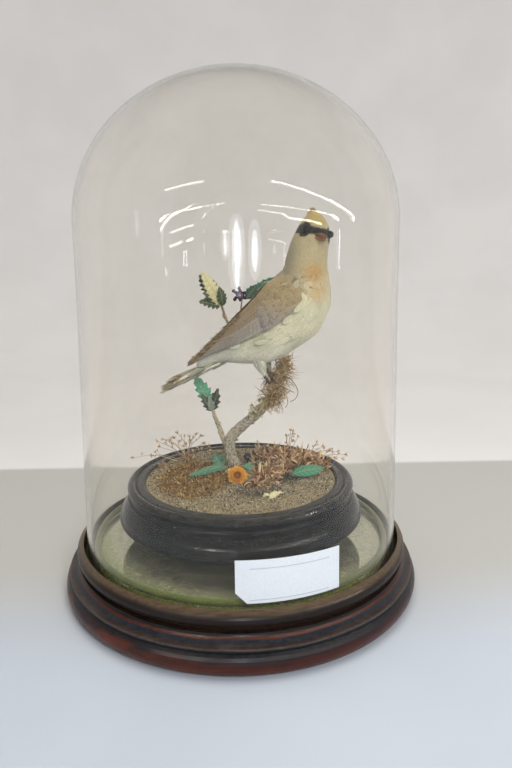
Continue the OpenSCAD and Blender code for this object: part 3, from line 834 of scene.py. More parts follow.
def clump(heap, cx, cy, rx, ry, height, count, colours, length=(0.7, 1.8)):
    """A low mossy clump of short upright leaflets."""
    a = draw.uniform(0, 2 * np.pi, count)
    r = np.minimum(abs(draw.normal(size=count)) * 0.55, 1.5) * (1 + 0.3 * np.sin(3 * a + cx))
    x = cx + rx * r * np.cos(a)
    y = cy + ry * r * np.sin(a)
    z = ground_height(x, y) + height * np.clip(1 - r**2, 0, 1) * draw.uniform(0.4, 1, count)
    lean = xyz(np.cos(a) * r, np.sin(a) * r, 0.8) + 0.5 * jitter(count)
    ribbons(heap, xyz(x, y, z), lean, jitter(count), draw.uniform(*length, count),
            draw.uniform(0.4, 0.9, count), pick(colours, count, 0.3), draw.uniform(-2, 2, count), steps=3)


grey_moss = Heap()
clump(grey_moss, 11, -37, 9, 6, 3.6, 700, MOSS_GREY)
clump(grey_moss, 2, -33, 8, 5, 2.6, 500, MOSS_GREY)
clump(grey_moss, 20, -28, 7, 6, 3.4, 500, MOSS_GREY)
clump(grey_moss, 31, -13, 8, 6, 4.4, 600, palette("3f4434 545a44 6a6f58 33372b"))
clump(grey_moss, 9, 32, 5, 4, 6.0, 260, palette("5f6148 75765a 4a4c38"))
clump(grey_moss, -6, 10, 7, 5, 3.0, 380, palette("b8ab8c 8e7f60 cfc6ac 6a5a40"))
grey_moss.make("grey_moss_clumps", fibre_look)

chips = Heap()
for cx, cy, size in ((21.4, -40.5, 4.8), (16.0, -41.5, 2.6), (24.6, -38, 2.2), (-8, 4, 2.4), (6, 3, 2.0),
                     (-3, 8, 1.8)):
    turn = draw.uniform(0, 3.1)
    along = np.array([math.cos(turn * 0.3), math.sin(turn * 0.3), 0.15])
    foot = np.array([cx, cy, ground_height(cx, cy) + 0.9]) - along * size
    blade(chips, foot, foot + along * 2 * size, size * 0.9, [0.1, -0.3, 1], rgb("d6cda2"), bend=0.7, cup=0.8,
          teeth=3, bite=0.35, thick=0.7, ripple=0.3)
chips.make("lichen_chips", tinted("lichen_cream", 1.5, 0.3, 0.85, 0.75, 1.12), replaces=["lichen_chip"])

# ---- branch, twigs, lichen and tow ----

TRUNK = [[-4.7, 20.5, 71.2, 5.4], [-6.9, 20.5, 78, 4.3], [-7.7, 20.5, 85, 4], [-6.4, 20, 93, 3.9],
         [1.8, 18, 102, 3.6], [10.2, 14, 110, 3.3], [17.2, 10, 118, 3.1], [24.2, 6.5, 131, 2.8],
         [27.6, 4.8, 143, 2.2], [29.5, 4, 151, 1.4]]
bark_look = barky()
branch = Heap()
core = spline(TRUNK, 14)
knots = lambda p: 0.42 * rough(p, 0.22, 4) + 0.28 * rough(p, 0.8, 3)
tube(branch, core[:, :3], core[:, 3], 30, rgb("f0ece2"), knots)
bark_points = core[draw.integers(4, len(core) - 30, 260)]
out = unit(jitter(260))
flake = bark_points[:, :3] + out * (bark_points[:, 3:] * 0.98)
CRUSTS = palette("e6e2d4 d2c9a4 f2efe6")
grains(branch, *flake.T, draw.uniform(0.25, 0.7, 260), pick(CRUSTS, 260, 0.1))
for at in (22, 40, 62, 74, 90):
    spot = core[at]
    out = unit(draw.normal(size=3) + [0.3, -0.8, 0.2])
    path = spot[:3] + out * np.linspace(spot[3] * 0.6, spot[3] + draw.uniform(0.8, 2.4), 4)[:, None]
    tube(branch, path, np.linspace(1.2, 0.5, 4), 9, rgb("b8b0a0"), lambda p: 0.2 * rough(p, 0.9))
branch.make("branch_bark", bark_look, replaces=["branch"])

twigs = Heap()
TWIG = [[-9.5, 20.6, 86.5, 1.9], [-11.3, 20.6, 89.5, 2.0], [-15.1, 22, 100, 1.7], [-17.4, 23, 106, 1.5],
        [-19.6, 24, 112.6, 1.2]]
path = spline(TWIG, 10)
tube(twigs, path[:, :3], path[:, 3], 16, rgb("fff6d2"), lambda p: 0.25 * rough(p, 0.5, 3))
for at, lean in ((16, [-1, -0.4, 0.6]), (24, [0.8, -0.5, 0.5]), (31, [-0.8, -0.3, 0.7])):
    out = unit(lean)
    tube(twigs, path[at, :3] + out * np.linspace(0.8, 2.6, 4)[:, None], [0.8, 0.75, 0.6, 0.4], 8,
         rgb("d9c98c"))
twigs.make("side_twig_bark", bark_look, replaces=["side_twig"])

upper = Heap()
UPPER = [[25.6, 7, 138, 1.6], [19, 20, 143, 1.4], [7, 31, 154, 1.2], [-4, 37, 167, 1.1], [-9.5, 38, 178, 1],
         [-12.5, 37, 188, 0.8]]
path = spline(UPPER, 10)
tube(upper, path[:, :3], path[:, 3], 12, rgb("c6b285"), lambda p: 0.2 * rough(p, 0.6, 3))
stem = spline([[3, 33.5, 158, 0.7], [1, 36, 172, 0.7], [2, 36, 184, 0.6], [3, 34.4, 193, 0.5]], 8)
tube(upper, stem[:, :3], stem[:, 3], 8, rgb("a08c60"), lambda p: 0.1 * rough(p, 0.8, 2))
buds = spline([[-9.5, 37, 177, 1], [-11, 36, 183, 1]], 6)[:, :3]
grains(upper, *(buds + draw.normal(size=buds.shape) * 0.7).T, draw.uniform(0.5, 1.1, len(buds)),
       pick(palette("8a6a3c b59a66"), len(buds)))
upper.make("upper_twig_bark", bark_look, replaces=["upper_twig"])

lichen = Heap()
for cx, cy, cz, spread, count in ((11.6, 9.4, 115.5, 3.6, 26), (16.6, 5.2, 121, 2.6, 16),
                                  (8, 12, 110.4, 2.0, 6)):
    for _ in range(count):
        out = unit(draw.normal(size=3) + [-0.4, -0.8, 0.2])
        foot = np.array([cx, cy, cz]) + draw.normal(size=3) * [spread * 0.5, 0.7, spread * 0.8] - out * 0.6
        grow = unit(out + draw.normal(size=3) * 0.7)
        blade(lichen, foot, foot + grow * draw.uniform(1.6, 3.0), draw.uniform(1.6, 3.0), out + [0, 0, 0.4],
              rgb("ded6ac") * draw.uniform(0.8, 1.08), under=rgb("b7a877"), bend=0.4, cup=0.5, teeth=3,
              bite=0.4, thick=0.25, rows=14, cols=6, ripple=0.3)
lichen.make("lichen_lobes", tinted("lichen_pale", 1.8, 0.3, 0.85, 0.7, 1.12), replaces=["lichen_patches"])

tow = Heap()
tow_core = spline([[20.6, 7.6, 121.5, 2.6], [23.6, 6.6, 127, 5.2], [26, 5.6, 134, 4.6], [28.6, 4.6, 143, 4.0],
                   [30.5, 4, 150, 2.2]], 8)
tube(tow, tow_core[:, :3], tow_core[:, 3] * 0.62, 20, rgb("7d5c2d"), lambda p: 1.1 * rough(p, 0.4, 4))
k = 520
at = tow_core[draw.integers(0, len(tow_core), k)]
out = unit(jitter(k) + [0.1, -0.35, 0])
along = unit([0.35, -0.1, 1.0])
start = at[:, :3] + out * at[:, 3:] * 0.75 + jitter(k) * 0.8
heading = np.cross(out, along) * draw.choice([-1, 1], (k, 1))
heading = heading + along * draw.normal(size=(k, 1)) * 0.9 + out * 0.5
hairs(tow, start, heading, draw.uniform(5, 14, k), draw.uniform(0.14, 0.36, k), pick(TOW, k, 0.25), curl=3.6)
k = 90
at = tow_core[draw.integers(4, len(tow_core), k)]
out = unit(jitter(k) * [1, 0.6, 0.7] + [0.5, -0.3, 0.1])
hairs(tow, at[:, :3], out, draw.uniform(9, 17, k), 0.13, pick(TOW, k, 0.2), curl=3.4, steps=10)
k = 70
tip_start = np.array([30.6, 4.0, 146]) + jitter(k) * [1.2, 1.2, 2.0]
hairs(tow, tip_start, jitter(k) * 0.3 + [0.15, -0.1, 1], draw.uniform(4, 9, k), 0.3,
      pick(palette("c8a15c b08640"), k), curl=1.5)
for wire in ([[29, 3, 141], [35, 0, 138.5], [39.6, 0, 131], [38.4, 1, 125.5], [34.6, 2, 122.6]],
             [[26, 4, 132], [31, 2, 127.6], [33, 1, 122.5], [31, 0, 119]],
             [[28, 4, 146], [33, 1, 147.5], [37.4, 0, 145.6]],
             [[22, 5, 124], [17, 3, 128], [14.8, 2, 131.5]]):
    path = spline(wire, 10)
    tube(tow, path, 0.24, 6, rgb("8a6a3a"))
tow.make("perch_tow", tinted("tow_golden", 2.5, 0.1, 0.7, 0.75, 1.2, 0.2), replaces=["perch_moss"])

# ---- leaves, berries, the strawflower and seed grasses ----

leaf_look = leafy()
TEAL_DARK = rgb("1d4a3c")
GREEN_DARK = rgb("253a26")


def leaf(*placed, **shape):
    """Keeps one blade's values together: foot, tip, width, face and colour, then what shapes it."""
    return placed, shape


def leaf_piece(name, node, blades):
    """One leaf node replaced by blades, each given by its foot, tip, width, face, colour and shape."""
    heap = Heap()
    for placed, shape in blades:
        blade(heap, *placed, **shape)
    heap.make(name, leaf_look, replaces=[node])


leaf_piece("upper_leaf_pale_blade", "upper_leaf_pale", [
    leaf([-12.2, 36.6, 186], [-26, 38, 210], 9.5, [0.3, -1, 0.2], rgb("d2c99c"),
         under=GREEN_DARK, bend=1.5, cup=0.6, teeth=8, bite=0.45, thick=0.35, ripple=0.35),
    leaf([-13.4, 37.6, 189], [-27.6, 39.2, 208], 11, [0.3, -1, 0.2], GREEN_DARK, bend=1.2,
         teeth=8, bite=0.55, thick=0.3, ripple=0.5)])
leaf_piece("upper_leaf_toothed_blade", "upper_leaf_toothed", [
    leaf([-13.2, 36, 185.6], [-28, 33, 189.4], 8.5, [0.1, -0.7, 0.7], GREEN_DARK, bend=1,
         teeth=5, bite=0.6, ripple=0.6, cup=0.8),
    leaf([-14, 36, 186.4], [-24.6, 34.6, 196], 5, [0.3, -1, 0.3], rgb("33492f"), bend=0.6,
         teeth=4, bite=0.6, ripple=0.4)])
leaf_piece("upper_leaf_small_blade", "upper_leaf_small", [
    leaf([-10.8, 36, 186], [-13.4, 36, 199.4], 6.4, [0.4, -1, 0], rgb("23402c"), bend=0.8,
         teeth=5, bite=0.5, ripple=0.4, cup=0.4)])
leaf_piece("back_leaf_blades", "back_leaves", [
    leaf([5.6, 33.6, 191], [13.6, 32, 201], 7, [0, -1, 0.3], TEAL_DARK, bend=0.5, teeth=4,
         bite=0.4, ripple=0.4),
    leaf([7.4, 35.6, 191.6], [27, 34, 206], 8, [0, -0.8, 0.7], rgb("2a6a58"), bend=1.5,
         teeth=6, bite=0.4, ripple=0.4)])
leaf_piece("twig_leaf_blades", "twig_leaves", [
    leaf([-20.1, 24, 114], [-32.6, 23, 138.6], 9.5, [0.5, -1, 0.2], rgb("4f9878"), bend=1.4,
         teeth=6, bite=0.6, ripple=0.5, cup=0.7),
    leaf([-19.2, 24.4, 112], [-15.4, 22, 128.6], 6.5, [-0.4, -1, 0.1], rgb("2b3b2c"),
         bend=0.8, teeth=4, bite=0.6, ripple=0.5),
    leaf([-20.4, 22.6, 112], [-27, 20, 125], 6, [0.2, -1, 0.3], rgb("3c4a40"), bend=0.8,
         teeth=4, bite=0.6, ripple=0.5, cup=0.8),
    leaf([-20, 21.8, 112], [-21.5, 20, 123.5], 4.6, [0.1, -1, 0.2], rgb("8d978c"), bend=1.2,
         teeth=3, bite=0.5, ripple=0.4, cup=1.0)])
leaf_piece("ground_leaf_left_blades", "ground_leaf_left", [
    leaf([-12, 5, 75.6], [-35.5, -9, 74.6], 5.8, [0, -0.6, 1], rgb("3c7a60"), bend=1.8,
         cup=-0.8, teeth=5, bite=0.3, thick=0.6, ripple=0.5),
    leaf([-12.5, 7, 74.6], [-19, 9.5, 84.8], 8, [0.2, -1, 0.1], rgb("3a6c55"), bend=0.8,
         cup=0.8, teeth=3, bite=0.35, thick=0.5, ripple=0.6),
    leaf([-10, 6, 74.6], [-21, 2, 77.6], 5, [0, -0.8, 0.8], rgb("4c7d66"), bend=1,
         teeth=3, bite=0.3, thick=0.5)])
leaf_piece("ground_leaf_right_blades", "ground_leaf_right", [
    leaf([35, -10, 75.2], [57.5, -4.6, 77.2], 8.4, [0, -0.8, 0.9], rgb("2f7f5f"), bend=1.6,
         cup=-0.9, thick=0.5, fullness=0.95),
    leaf([36, -8, 75.6], [48, -4, 78], 5, [0, -0.9, 0.7], rgb("23634a"), bend=1.0,
         thick=0.4)])
leaf_piece("ground_leaflet_blades", "ground_leaflets", [
    leaf([11, 4, 74.4], [2.4, -0.6, 78.6], 6.6, [0.1, -1, 0.5], rgb("4f9474"), bend=0.8,
         thick=0.4, teeth=3, bite=0.2),
    leaf([12, 5, 75], [16.4, 0.4, 79.6], 6.2, [-0.2, -1, 0.4], rgb("3f8567"), bend=0.8,
         thick=0.4, teeth=3, bite=0.2)])

berry_look = shiny("berry_dark", rgb("1c0d1c"), rgb("3a1e3a"), 0.3, 1.0, coat=0.4).material


LUMPS = 0.04


def ball(heap, at, radius, shade=(1, 1, 1), rows=14, cols=20):
    """A slightly lumpy ball, such as a berry or a stamen."""
    a = np.linspace(0.02, math.pi - 0.02, rows)[:, None]
    b = np.linspace(0, 2 * math.pi, cols, endpoint=False)
    p = xyz(np.sin(a) * np.cos(b), np.sin(a) * np.sin(b), np.cos(a) + 0 * b)
    p = p * (1 + LUMPS * rough(p + np.asarray(at) * 0.3, 2.0)[..., None]) * radius
    heap.grids(np.asarray(at) + p, shade, closed=True, caps=True)


berry = Heap()
ball(berry, [5, 18, 78.8], 2.9)
tube(berry, [[5, 18, 71.8], [5.2, 18, 74], [5, 18, 76.4]], 0.5, 7)
for i in range(5):
    a = i * 1.257
    blade(berry, [5 + 0.4 * math.cos(a), 16.4 + 0.3 * math.sin(a), 81.2],
          [5 + 1.6 * math.cos(a), 16 + 0.8 * math.sin(a), 81.9 + 0.4 * math.sin(a)], 0.7, [0, -0.5, 1],
          (1, 1, 1), rows=8, cols=4, thick=0.15)
berry.make("ground_berry_fruit", berry_look, replaces=["ground_berry"])

flower = Heap()
star = np.array([1.4, 33.4, 193.6])
for i in range(6):
    a = 0.5 + i * math.pi / 3
    out = np.array([math.cos(a), -0.25, math.sin(a)])
    blade(flower, star + out * 0.5, star + out * draw.uniform(4.4, 5.6), 2.6, [0, -1, 0], rgb("3a2a44"),
          bend=0.5, cup=0.6, teeth=2, bite=0.3, rows=18, cols=7, thick=0.25)
for i in range(9):
    a = i * 0.7
    ball(flower, star + [1.5 * math.cos(a), -1.0, 1.5 * math.sin(a)], 0.6, rgb("8c7a86"), 7, 9)
for at in ([-2.4, 34, 190.6], [0.6, 35, 198.4], [-3.2, 36.4, 196.4]):
    ball(flower, at, 1.3, rgb("33233c"), 9, 12)
flower.make("star_flower", tinted("flower_purple", 1.6, 0.1, 0.6, 0.7, 1.3), replaces=["berry_spray"])


# each ring of bracts: count, where they start and end, height along the axis, width, colour
BRACTS = ((20, 2.6, 6.9, -0.9, 2.6, "d8a23c"), (19, 2.4, 6.4, -0.2, 2.5, "e0a640"),
          (17, 2.2, 5.6, 0.4, 2.3, "dd9a30"), (15, 2.0, 4.8, 1.0, 2.0, "cf8524"),
          (13, 1.8, 3.9, 1.5, 1.8, "d08c2a"))
GOLDEN_ANGLE = 2.39996
DISC_R = 2.75


def strawflower():
    """Five rings of papery bracts round a disc of small florets."""
    heap = Heap()
    centre = FLOWER
    axis = unit([0.05, -0.86, 0.5])
    s = unit(np.cross([0, 0, 1.0], axis))
    t = np.cross(axis, s)
    for ring, (count, r0, r1, rise, wide, colour) in enumerate(BRACTS):
        for i in range(count):
            a = 2 * math.pi * (i + 0.5 * ring) / count + draw.normal() * 0.04
            out = math.cos(a) * s + math.sin(a) * t
            reach = r1 * draw.uniform(0.93, 1.04)
            foot = centre + out * r0 * 0.6 + axis * (rise - 0.6)
            tip = centre + out * reach + axis * (rise + 0.5)
            blade(heap, foot, tip, wide, axis, rgb(colour) * draw.uniform(0.85, 1.12), under=rgb("a8691c"),
                  bend=-0.25, cup=0.35, rows=10, cols=5, thick=0.16, fullness=0.95)
    for i in range(110):
        a = i * GOLDEN_ANGLE
        r = DISC_R * math.sqrt((i + 0.5) / 110)
        out = math.cos(a) * s + math.sin(a) * t
        foot = centre + out * r + axis * (1.5 + 0.5 * (1 - (r / DISC_R) ** 2))
        shade = rgb("b06a18") if 0.35 < r / DISC_R < 0.7 else rgb("d9942c")
        tube(heap, foot + np.outer([0, 0.5, 0.85], axis + 0.2 * out), [0.2, 0.17, 0.06], 5, shade)
    tube(heap, centre + np.outer([-2.4, -1.4, 0.6, 1.5], axis), [1.2, 3.0, 3.2, 2.6], 24, rgb("9b6420"))
    heap.make("strawflower_head", tinted("strawflower_orange", 1.5, 0.08, 0.5, 0.82, 1.12),
              replaces=["strawflower"])


strawflower()

SEED = palette("d8c2a0 c4a684 e6d6b8 b89478")


def seed_head(heap, at, heading, size):
    """A small open husk of pointed bracts round a tip."""
    heading = unit(heading)
    k = 11
    out = unit(heading * 1.1 + jitter(k) * 0.55)
    ribbons(heap, np.repeat([at], k, axis=0) - heading * 0.4, out, jitter(k),
            draw.uniform(0.7, 1.3, k) * size, draw.uniform(0.35, 0.7, k), pick(SEED, k, 0.2),
            draw.uniform(-1, 1, k), steps=4)


def seed_stem(heap, root, tip, size=2.6, arch=0.08, radius=0.28):
    root = np.asarray(root, float)
    tip = np.asarray(tip, float)
    middle = (root + tip) / 2 + [0, 0, np.linalg.norm(tip - root) * arch] + draw.normal(size=3) * 0.5
    path = spline([root, middle, tip], 8)
    tube(heap, path, np.linspace(radius, radius * 0.6, len(path)), 5, pick(SEED, 1)[0])
    seed_head(heap, tip, path[-1] - path[-3], size)
    for j in (8, 11, 13):
        if size > 2 and draw.uniform() > 0.35:
            side = unit(draw.normal(size=3) + [0, 0, 0.6])
            twig = path[j] + side * draw.uniform(2, 4)
            tube(heap, [path[j], (path[j] + twig) / 2 + [0, 0, 0.2], twig], 0.17, 4, SEED[1])
            seed_head(heap, twig, side, size * 0.6)


grass = Heap()
left_root = np.array([-40, 36, 72.0])
for i in range(13):
    a = math.radians(14 + i * 12.6)
    reach = draw.uniform(0.82, 1.08)
    tip = left_root + np.array([-21 * math.cos(a) - 2, 4 - 0.9 * i, 5 + 16 * math.sin(a)]) * [reach, 1, reach]
    seed_stem(grass, left_root + draw.normal(size=3) * [1.6, 1.6, 0], tip)
seed_stem(grass, left_root + [-4, -4, 0], [-66, 31, 77], 2.4)
seed_stem(grass, left_root + [-6, -6, 0], [-79, 27, 76.5], 2.6, 0.12)
clump(grass, -40, 35, 5, 4, 3.0, 160, DRY, (1.5, 4))
clump(grass, -57, 20, 3, 3, 2.2, 60, DRY, (1.5, 3.5))
grass.make("seed_grass_left_stems", fibre_look, replaces=["seed_grass_left"])

grass = Heap()
for tip in ([65, 24, 81], [71, 21, 80.5], [77, 22, 78], [60, 22, 84], [56, 24, 86.5], [68, 16, 77.4],
            [74, 17, 76.6]):
    seed_stem(grass, np.array([50, 18, 75.5]) + draw.normal(size=3) * [2, 2, 0.5], tip, 2.6)
for tip in ([33.4, 22, 92.4], [38.4, 23, 95.4], [42, 22, 91.6], [36.6, 20, 97.2], [12.6, 24, 87.6],
            [20, 26, 84]):
    root = np.array([36.5 if tip[0] > 30 else 14, 22, 77])
    seed_stem(grass, root, tip, 2.2)
grass.make("seed_grass_right_stems", fibre_look, replaces=["seed_grass_right"])

# ---- the plush ring at the mirror's edge ----

plush = Heap()
k = 5200
a = draw.uniform(0, 2 * np.pi, k)
b = draw.uniform(-0.9, np.pi + 0.4, k)
ring_r, ring_z, thick = 98.7, 34.3, 1.9
out = xyz(np.cos(a) * np.cos(b), np.sin(a) * np.cos(b), np.sin(b))
base_point = xyz(np.cos(a) * ring_r, np.sin(a) * ring_r, ring_z)
OLIVE = palette("5d6826 717c30 454f1c 868c4c")
DUSTY_OLIVE = rgb("6f6e56")


def front_left_brighter(colours, points):
    """The plush is bright only at the front left; elsewhere it is dusty olive."""
    front_share = np.clip(-points[..., 1:2] / 100 - 0.25 - 0.3 * points[..., 0:1] / 100, 0, 0.75) / 0.75
    return DUSTY_OLIVE + (colours - DUSTY_OLIVE) * (0.25 + 0.75 * front_share)


hairs(plush, base_point + out * thick * 0.9, out + 0.45 * jitter(k), draw.uniform(0.5, 0.85, k), 0.14,
      front_left_brighter(pick(OLIVE, k, 0.2), base_point), steps=2)
a = circle(240)
b = circle(14)
p = xyz(np.cos(a)[:, None] * (ring_r + thick * np.cos(b)), np.sin(a)[:, None] * (ring_r + thick * np.cos(b)),
        ring_z + thick * np.sin(b) + 0 * a[:, None])
p = np.concatenate([p, p[:1]])
plush.grids(p, front_left_brighter(rgb("566020") * (1 + 0.25 * rough(p, 0.3)[..., None]), p), closed=True)
plush.make("plush_ring_pile", tinted("plush_olive", 1.4, 0.2, 0.85, 0.7, 1.25, 0.4), replaces=["plush_ring"])

# ---- the bird ----

MID = 5.0
HEAD = np.array([50.4, 3.0, 235.0])
FACE = unit([0.26, -0.96, -0.08])
CHEEK = unit([0.96, 0.24, -0.18])
BROW = np.cross(FACE, CHEEK)
# upper x, upper z, lower x, lower z, half width, y of the middle; from under the tail to the crown
FORM = [[-27, 155, -24, 147, 3.0, 5], [-16, 163, -11, 150.3, 8, 5], [-4.4, 174.4, 5, 149.4, 14, 5],
        [9.5, 188, 22, 150.6, 19.5, 5], [19.3, 198.5, 40, 160.4, 21.5, 5], [25.5, 204.5, 53.8, 171.2, 22, 5],
        [28.3, 206.8, 60.6, 186, 20.5, 5], [29.2, 209.5, 61.8, 195.5, 18, 5],
        [30.6, 214.5, 60.2, 206.5, 15.6, 5], [32.5, 221, 58.9, 215.5, 13.8, 4.6],
        [35, 229, 59.3, 224.5, 12.8, 4], [38.6, 236.6, 60.2, 232, 12.2, 3.4],
        [41.8, 242, 58.8, 239.6, 10.4, 3], [45.4, 246, 55.4, 245, 6.6, 3], [48.4, 248.6, 52, 248.3, 1.8, 3.4]]
form = spline(FORM, 12)


def body_surface(t, angle, grow=0.0):
    """A point of the body: t counts rows of form, angle is 0 on the back and runs over the near side."""
    row = np.stack([np.interp(t, np.arange(len(form)), form[:, i]) for i in range(6)], axis=-1)
    centre = xyz((row[..., 0] + row[..., 2]) / 2, row[..., 5], (row[..., 1] + row[..., 3]) / 2)
    rise = xyz((row[..., 0] - row[..., 2]) / 2, 0 * t, (row[..., 1] - row[..., 3]) / 2)
    size = np.linalg.norm(rise, axis=-1, keepdims=True)
    across = np.array([0, -1.0, 0]) * (row[..., 4:5] + grow)
    c = np.cos(angle)[..., None]
    s = np.sin(angle)[..., None]
    p = centre + rise * (1 + grow / np.maximum(size, 1)) * c + across * s
    off = (p[..., 2] - 204.6 - 0.06 * (p[..., 0] - 40)) / 1.1
    crease = np.exp(-(off**2)) * (p[..., 0] < 52) * (p[..., 1] < 9)
    return p + unit(p - centre) * (-1.5 * crease[..., None])


CREAM = rgb("e0d9b8")
CREAM_PALE = rgb("e4dfca")
GREY_GREEN = rgb("a9ac92")
TAN = rgb("b9883f")
NAPE = rgb("9a9078")
THROAT = rgb("b5a67f")
KHAKI = rgb("a8935c")
MANTLE = rgb("8f8469")
MASK = rgb("0b0705")
UNDERTAIL = rgb("c6c5b6")


def near(p, centre, size):
    """1 at the centre, falling smoothly to 0 about one size away."""
    d = (p - np.asarray(centre)) / np.asarray(size)
    return np.exp(-np.sum(d * d, axis=-1))[..., None]


def eye_place(side):
    """The middle of one eye; side is 1 or -1."""
    return HEAD + FACE * 7.5 + CHEEK * side * 8.6 + [-1, 0, 0.6]


def plumage(p):
    """The colour of the feathers at a place on the body."""
    x, y, z = p[..., 0:1], p[..., 1:2], p[..., 2:3]
    step = lambda v, lo, hi: np.clip((v - lo) / (hi - lo), 0, 1)
    c = CREAM + (CREAM_PALE - CREAM) * step(z, 172, 152)
    mottle = step(rough(p, 0.07)[..., None], 0.0, 0.5)
    c = c + (GREY_GREEN - c) * mottle * 0.3
    c = c + (UNDERTAIL - c) * step(x, 8, -12) * 0.9
    back = step(z - 0.75 * (x - 10), 190, 197)
    c = c + (MANTLE - c) * back * step(z, 208, 200)
    c = c * (1 - 0.24 * step(z, 176, 202) * (1 - back))
    c = c + (THROAT - c) * step(z, 200, 210)
    c = c + (NAPE - c) * step(x, 42, 33) * step(z, 198, 206) * 0.85
    c = c + (TAN - c) * near(p, [51, -11, 199], [8, 15, 5.5]) * 0.6
    c = c + (TAN - c) * near(p, [49, -11, 210.5], [7, 10, 5]) * 0.8
    c = c + (KHAKI - c) * step(z, 236.5, 240.5) * 0.95
    # painted shade: a dark line along the parting at the foot of the neck
    dark = np.exp(-(((z - 204 - 0.14 * (x - 40)) / 1.0) ** 2)) * (x < 45)
    c = c * (1 - 0.65 * dark)
    q = p - HEAD
    ahead = np.sum(q * FACE, axis=-1, keepdims=True)
    tall = np.sum(q * BROW, axis=-1, keepdims=True)
    wide = abs(np.sum(q * CHEEK, axis=-1, keepdims=True))
    band = step(1.8 + 0.1 * wide - abs(tall - 0.4), -0.3, 0.5) * step(ahead, -3.5, -1.5) * (z > 228)
    for side in (-1, 1):
        reach = np.linalg.norm(p - eye_place(side), axis=-1)[..., None]
        band = np.maximum(band, step(reach, 4.9, 4.2))
    return c + (MASK - c) * band


plume_look = feathered("plumage_soft", 3.0, 0.05, 0.15)
quill_look = feathered("flight_feathers", 16.0, 0.12, 0.15)
covert_look = feathered("covert_feathers", 7.0, 0.12, 0.2, 0.28)

body = Heap()
t = np.arange(len(form))[:, None] + np.zeros((1, 72))
angle = circle(72)[None] + 0 * t
p = body_surface(t, angle, -0.25)
p = p + unit(p - p.mean(axis=1, keepdims=True)) * 0.35 * rough(p, 0.25)[..., None]
# the skin under the feathers is a little darker: painted shade between the feathers
body.grids(p, plumage(p) * 0.92, closed=True, caps=True)


def plumes(heap, t, angle, length, width, lift, shorten=0.0, above=0.0):
    """Small soft feathers that lie back over the body."""
    k = len(t)
    p = body_surface(t, angle)
    ahead = unit(body_surface(t - 0.6, angle) - body_surface(t + 0.6, angle))
    side = unit(body_surface(t, angle + 0.05) - body_surface(t, angle - 0.05))
    normal = unit(np.cross(side, ahead))
    normal = normal * np.sign(np.sum(normal * (p - body_surface(t, angle, -2)), axis=-1, keepdims=True))
    p = p + normal * above
    from_bill = unit(p - (HEAD + FACE * 12 - BROW * 2))
    on_head = np.clip((p[:, 2:] - 226) / 8, 0, 1)
    ahead = unit(ahead * (1 - on_head) + from_bill * on_head + 0.12 * jitter(k))
    ahead = unit(ahead - normal * np.sum(ahead * normal, axis=-1, keepdims=True))
    side = np.cross(normal, ahead)
    length = np.broadcast_to(length, k) * (1 - shorten * on_head[:, 0])
    width = np.broadcast_to(width, k) * (1 - 0.35 * on_head[:, 0])
    u = np.linspace(0, 1, 5)
    w = np.array([-1, -0.5, 0, 0.5, 1])
    half = width[:, None] / 2 * (np.sin(np.pi * (0.1 + 0.86 * u)) ** 0.6)[None]
    rise = lift * (np.sin(u * 1.6))[None, :, None] - 0.25 * (w**2)[None, None, :] * half[:, :, None]
    reach = length[:, None] * (u - 0.35)
    grid = p[:, None, None] + ahead[:, None, None] * reach[:, :, None, None]
    grid = grid + side[:, None, None] * (half[:, :, None] * w)[..., None]
    grid = grid + normal[:, None, None] * rise[..., None]
    bend = reach**2 / 60
    grid = grid - normal[:, None, None] * bend[:, :, None, None]
    shade = plumage(p) * draw.uniform(0.95, 1.05, (k, 1))
    tipped = shade[:, None, None] * (0.97 + 0.06 * u)[None, :, None, None]
    heap.grids(grid, tipped, xyz(w, u[:, None], draw.uniform(size=(k, 1, 1))))


# a folded wing in its own flat frame: a runs from the shoulder to the tip, b upwards across it
SHOULDER = np.array([36.0, 200.0])
RUN = unit([-69, -50.7])
RISE = np.array([RUN[1], -RUN[0]]) * np.sign(-RUN[0])


def off_crease(t, angle):
    """Keeps places away from the parting at the foot of the neck, the eyes and the wings' roots."""
    p = body_surface(t, angle)
    flat = p[:, [0, 2]] - SHOULDER
    along, across = flat @ RUN, flat @ RISE
    under_wing = (along > -7) & (along < 40) & (abs(across) < 8) & (abs(p[:, 1] - MID) > 7)
    parting = (abs(p[:, 2] - 204 - 0.14 * (p[:, 0] - 40)) < 1.2) & (p[:, 0] < 45) & (p[:, 1] < 9)
    eye = np.zeros(len(t), bool)
    for side in (-1, 1):
        eye |= np.linalg.norm(p - eye_place(side), axis=-1) < 3.2
    keep = ~(parting | eye | under_wing)
    return t[keep], angle[keep]


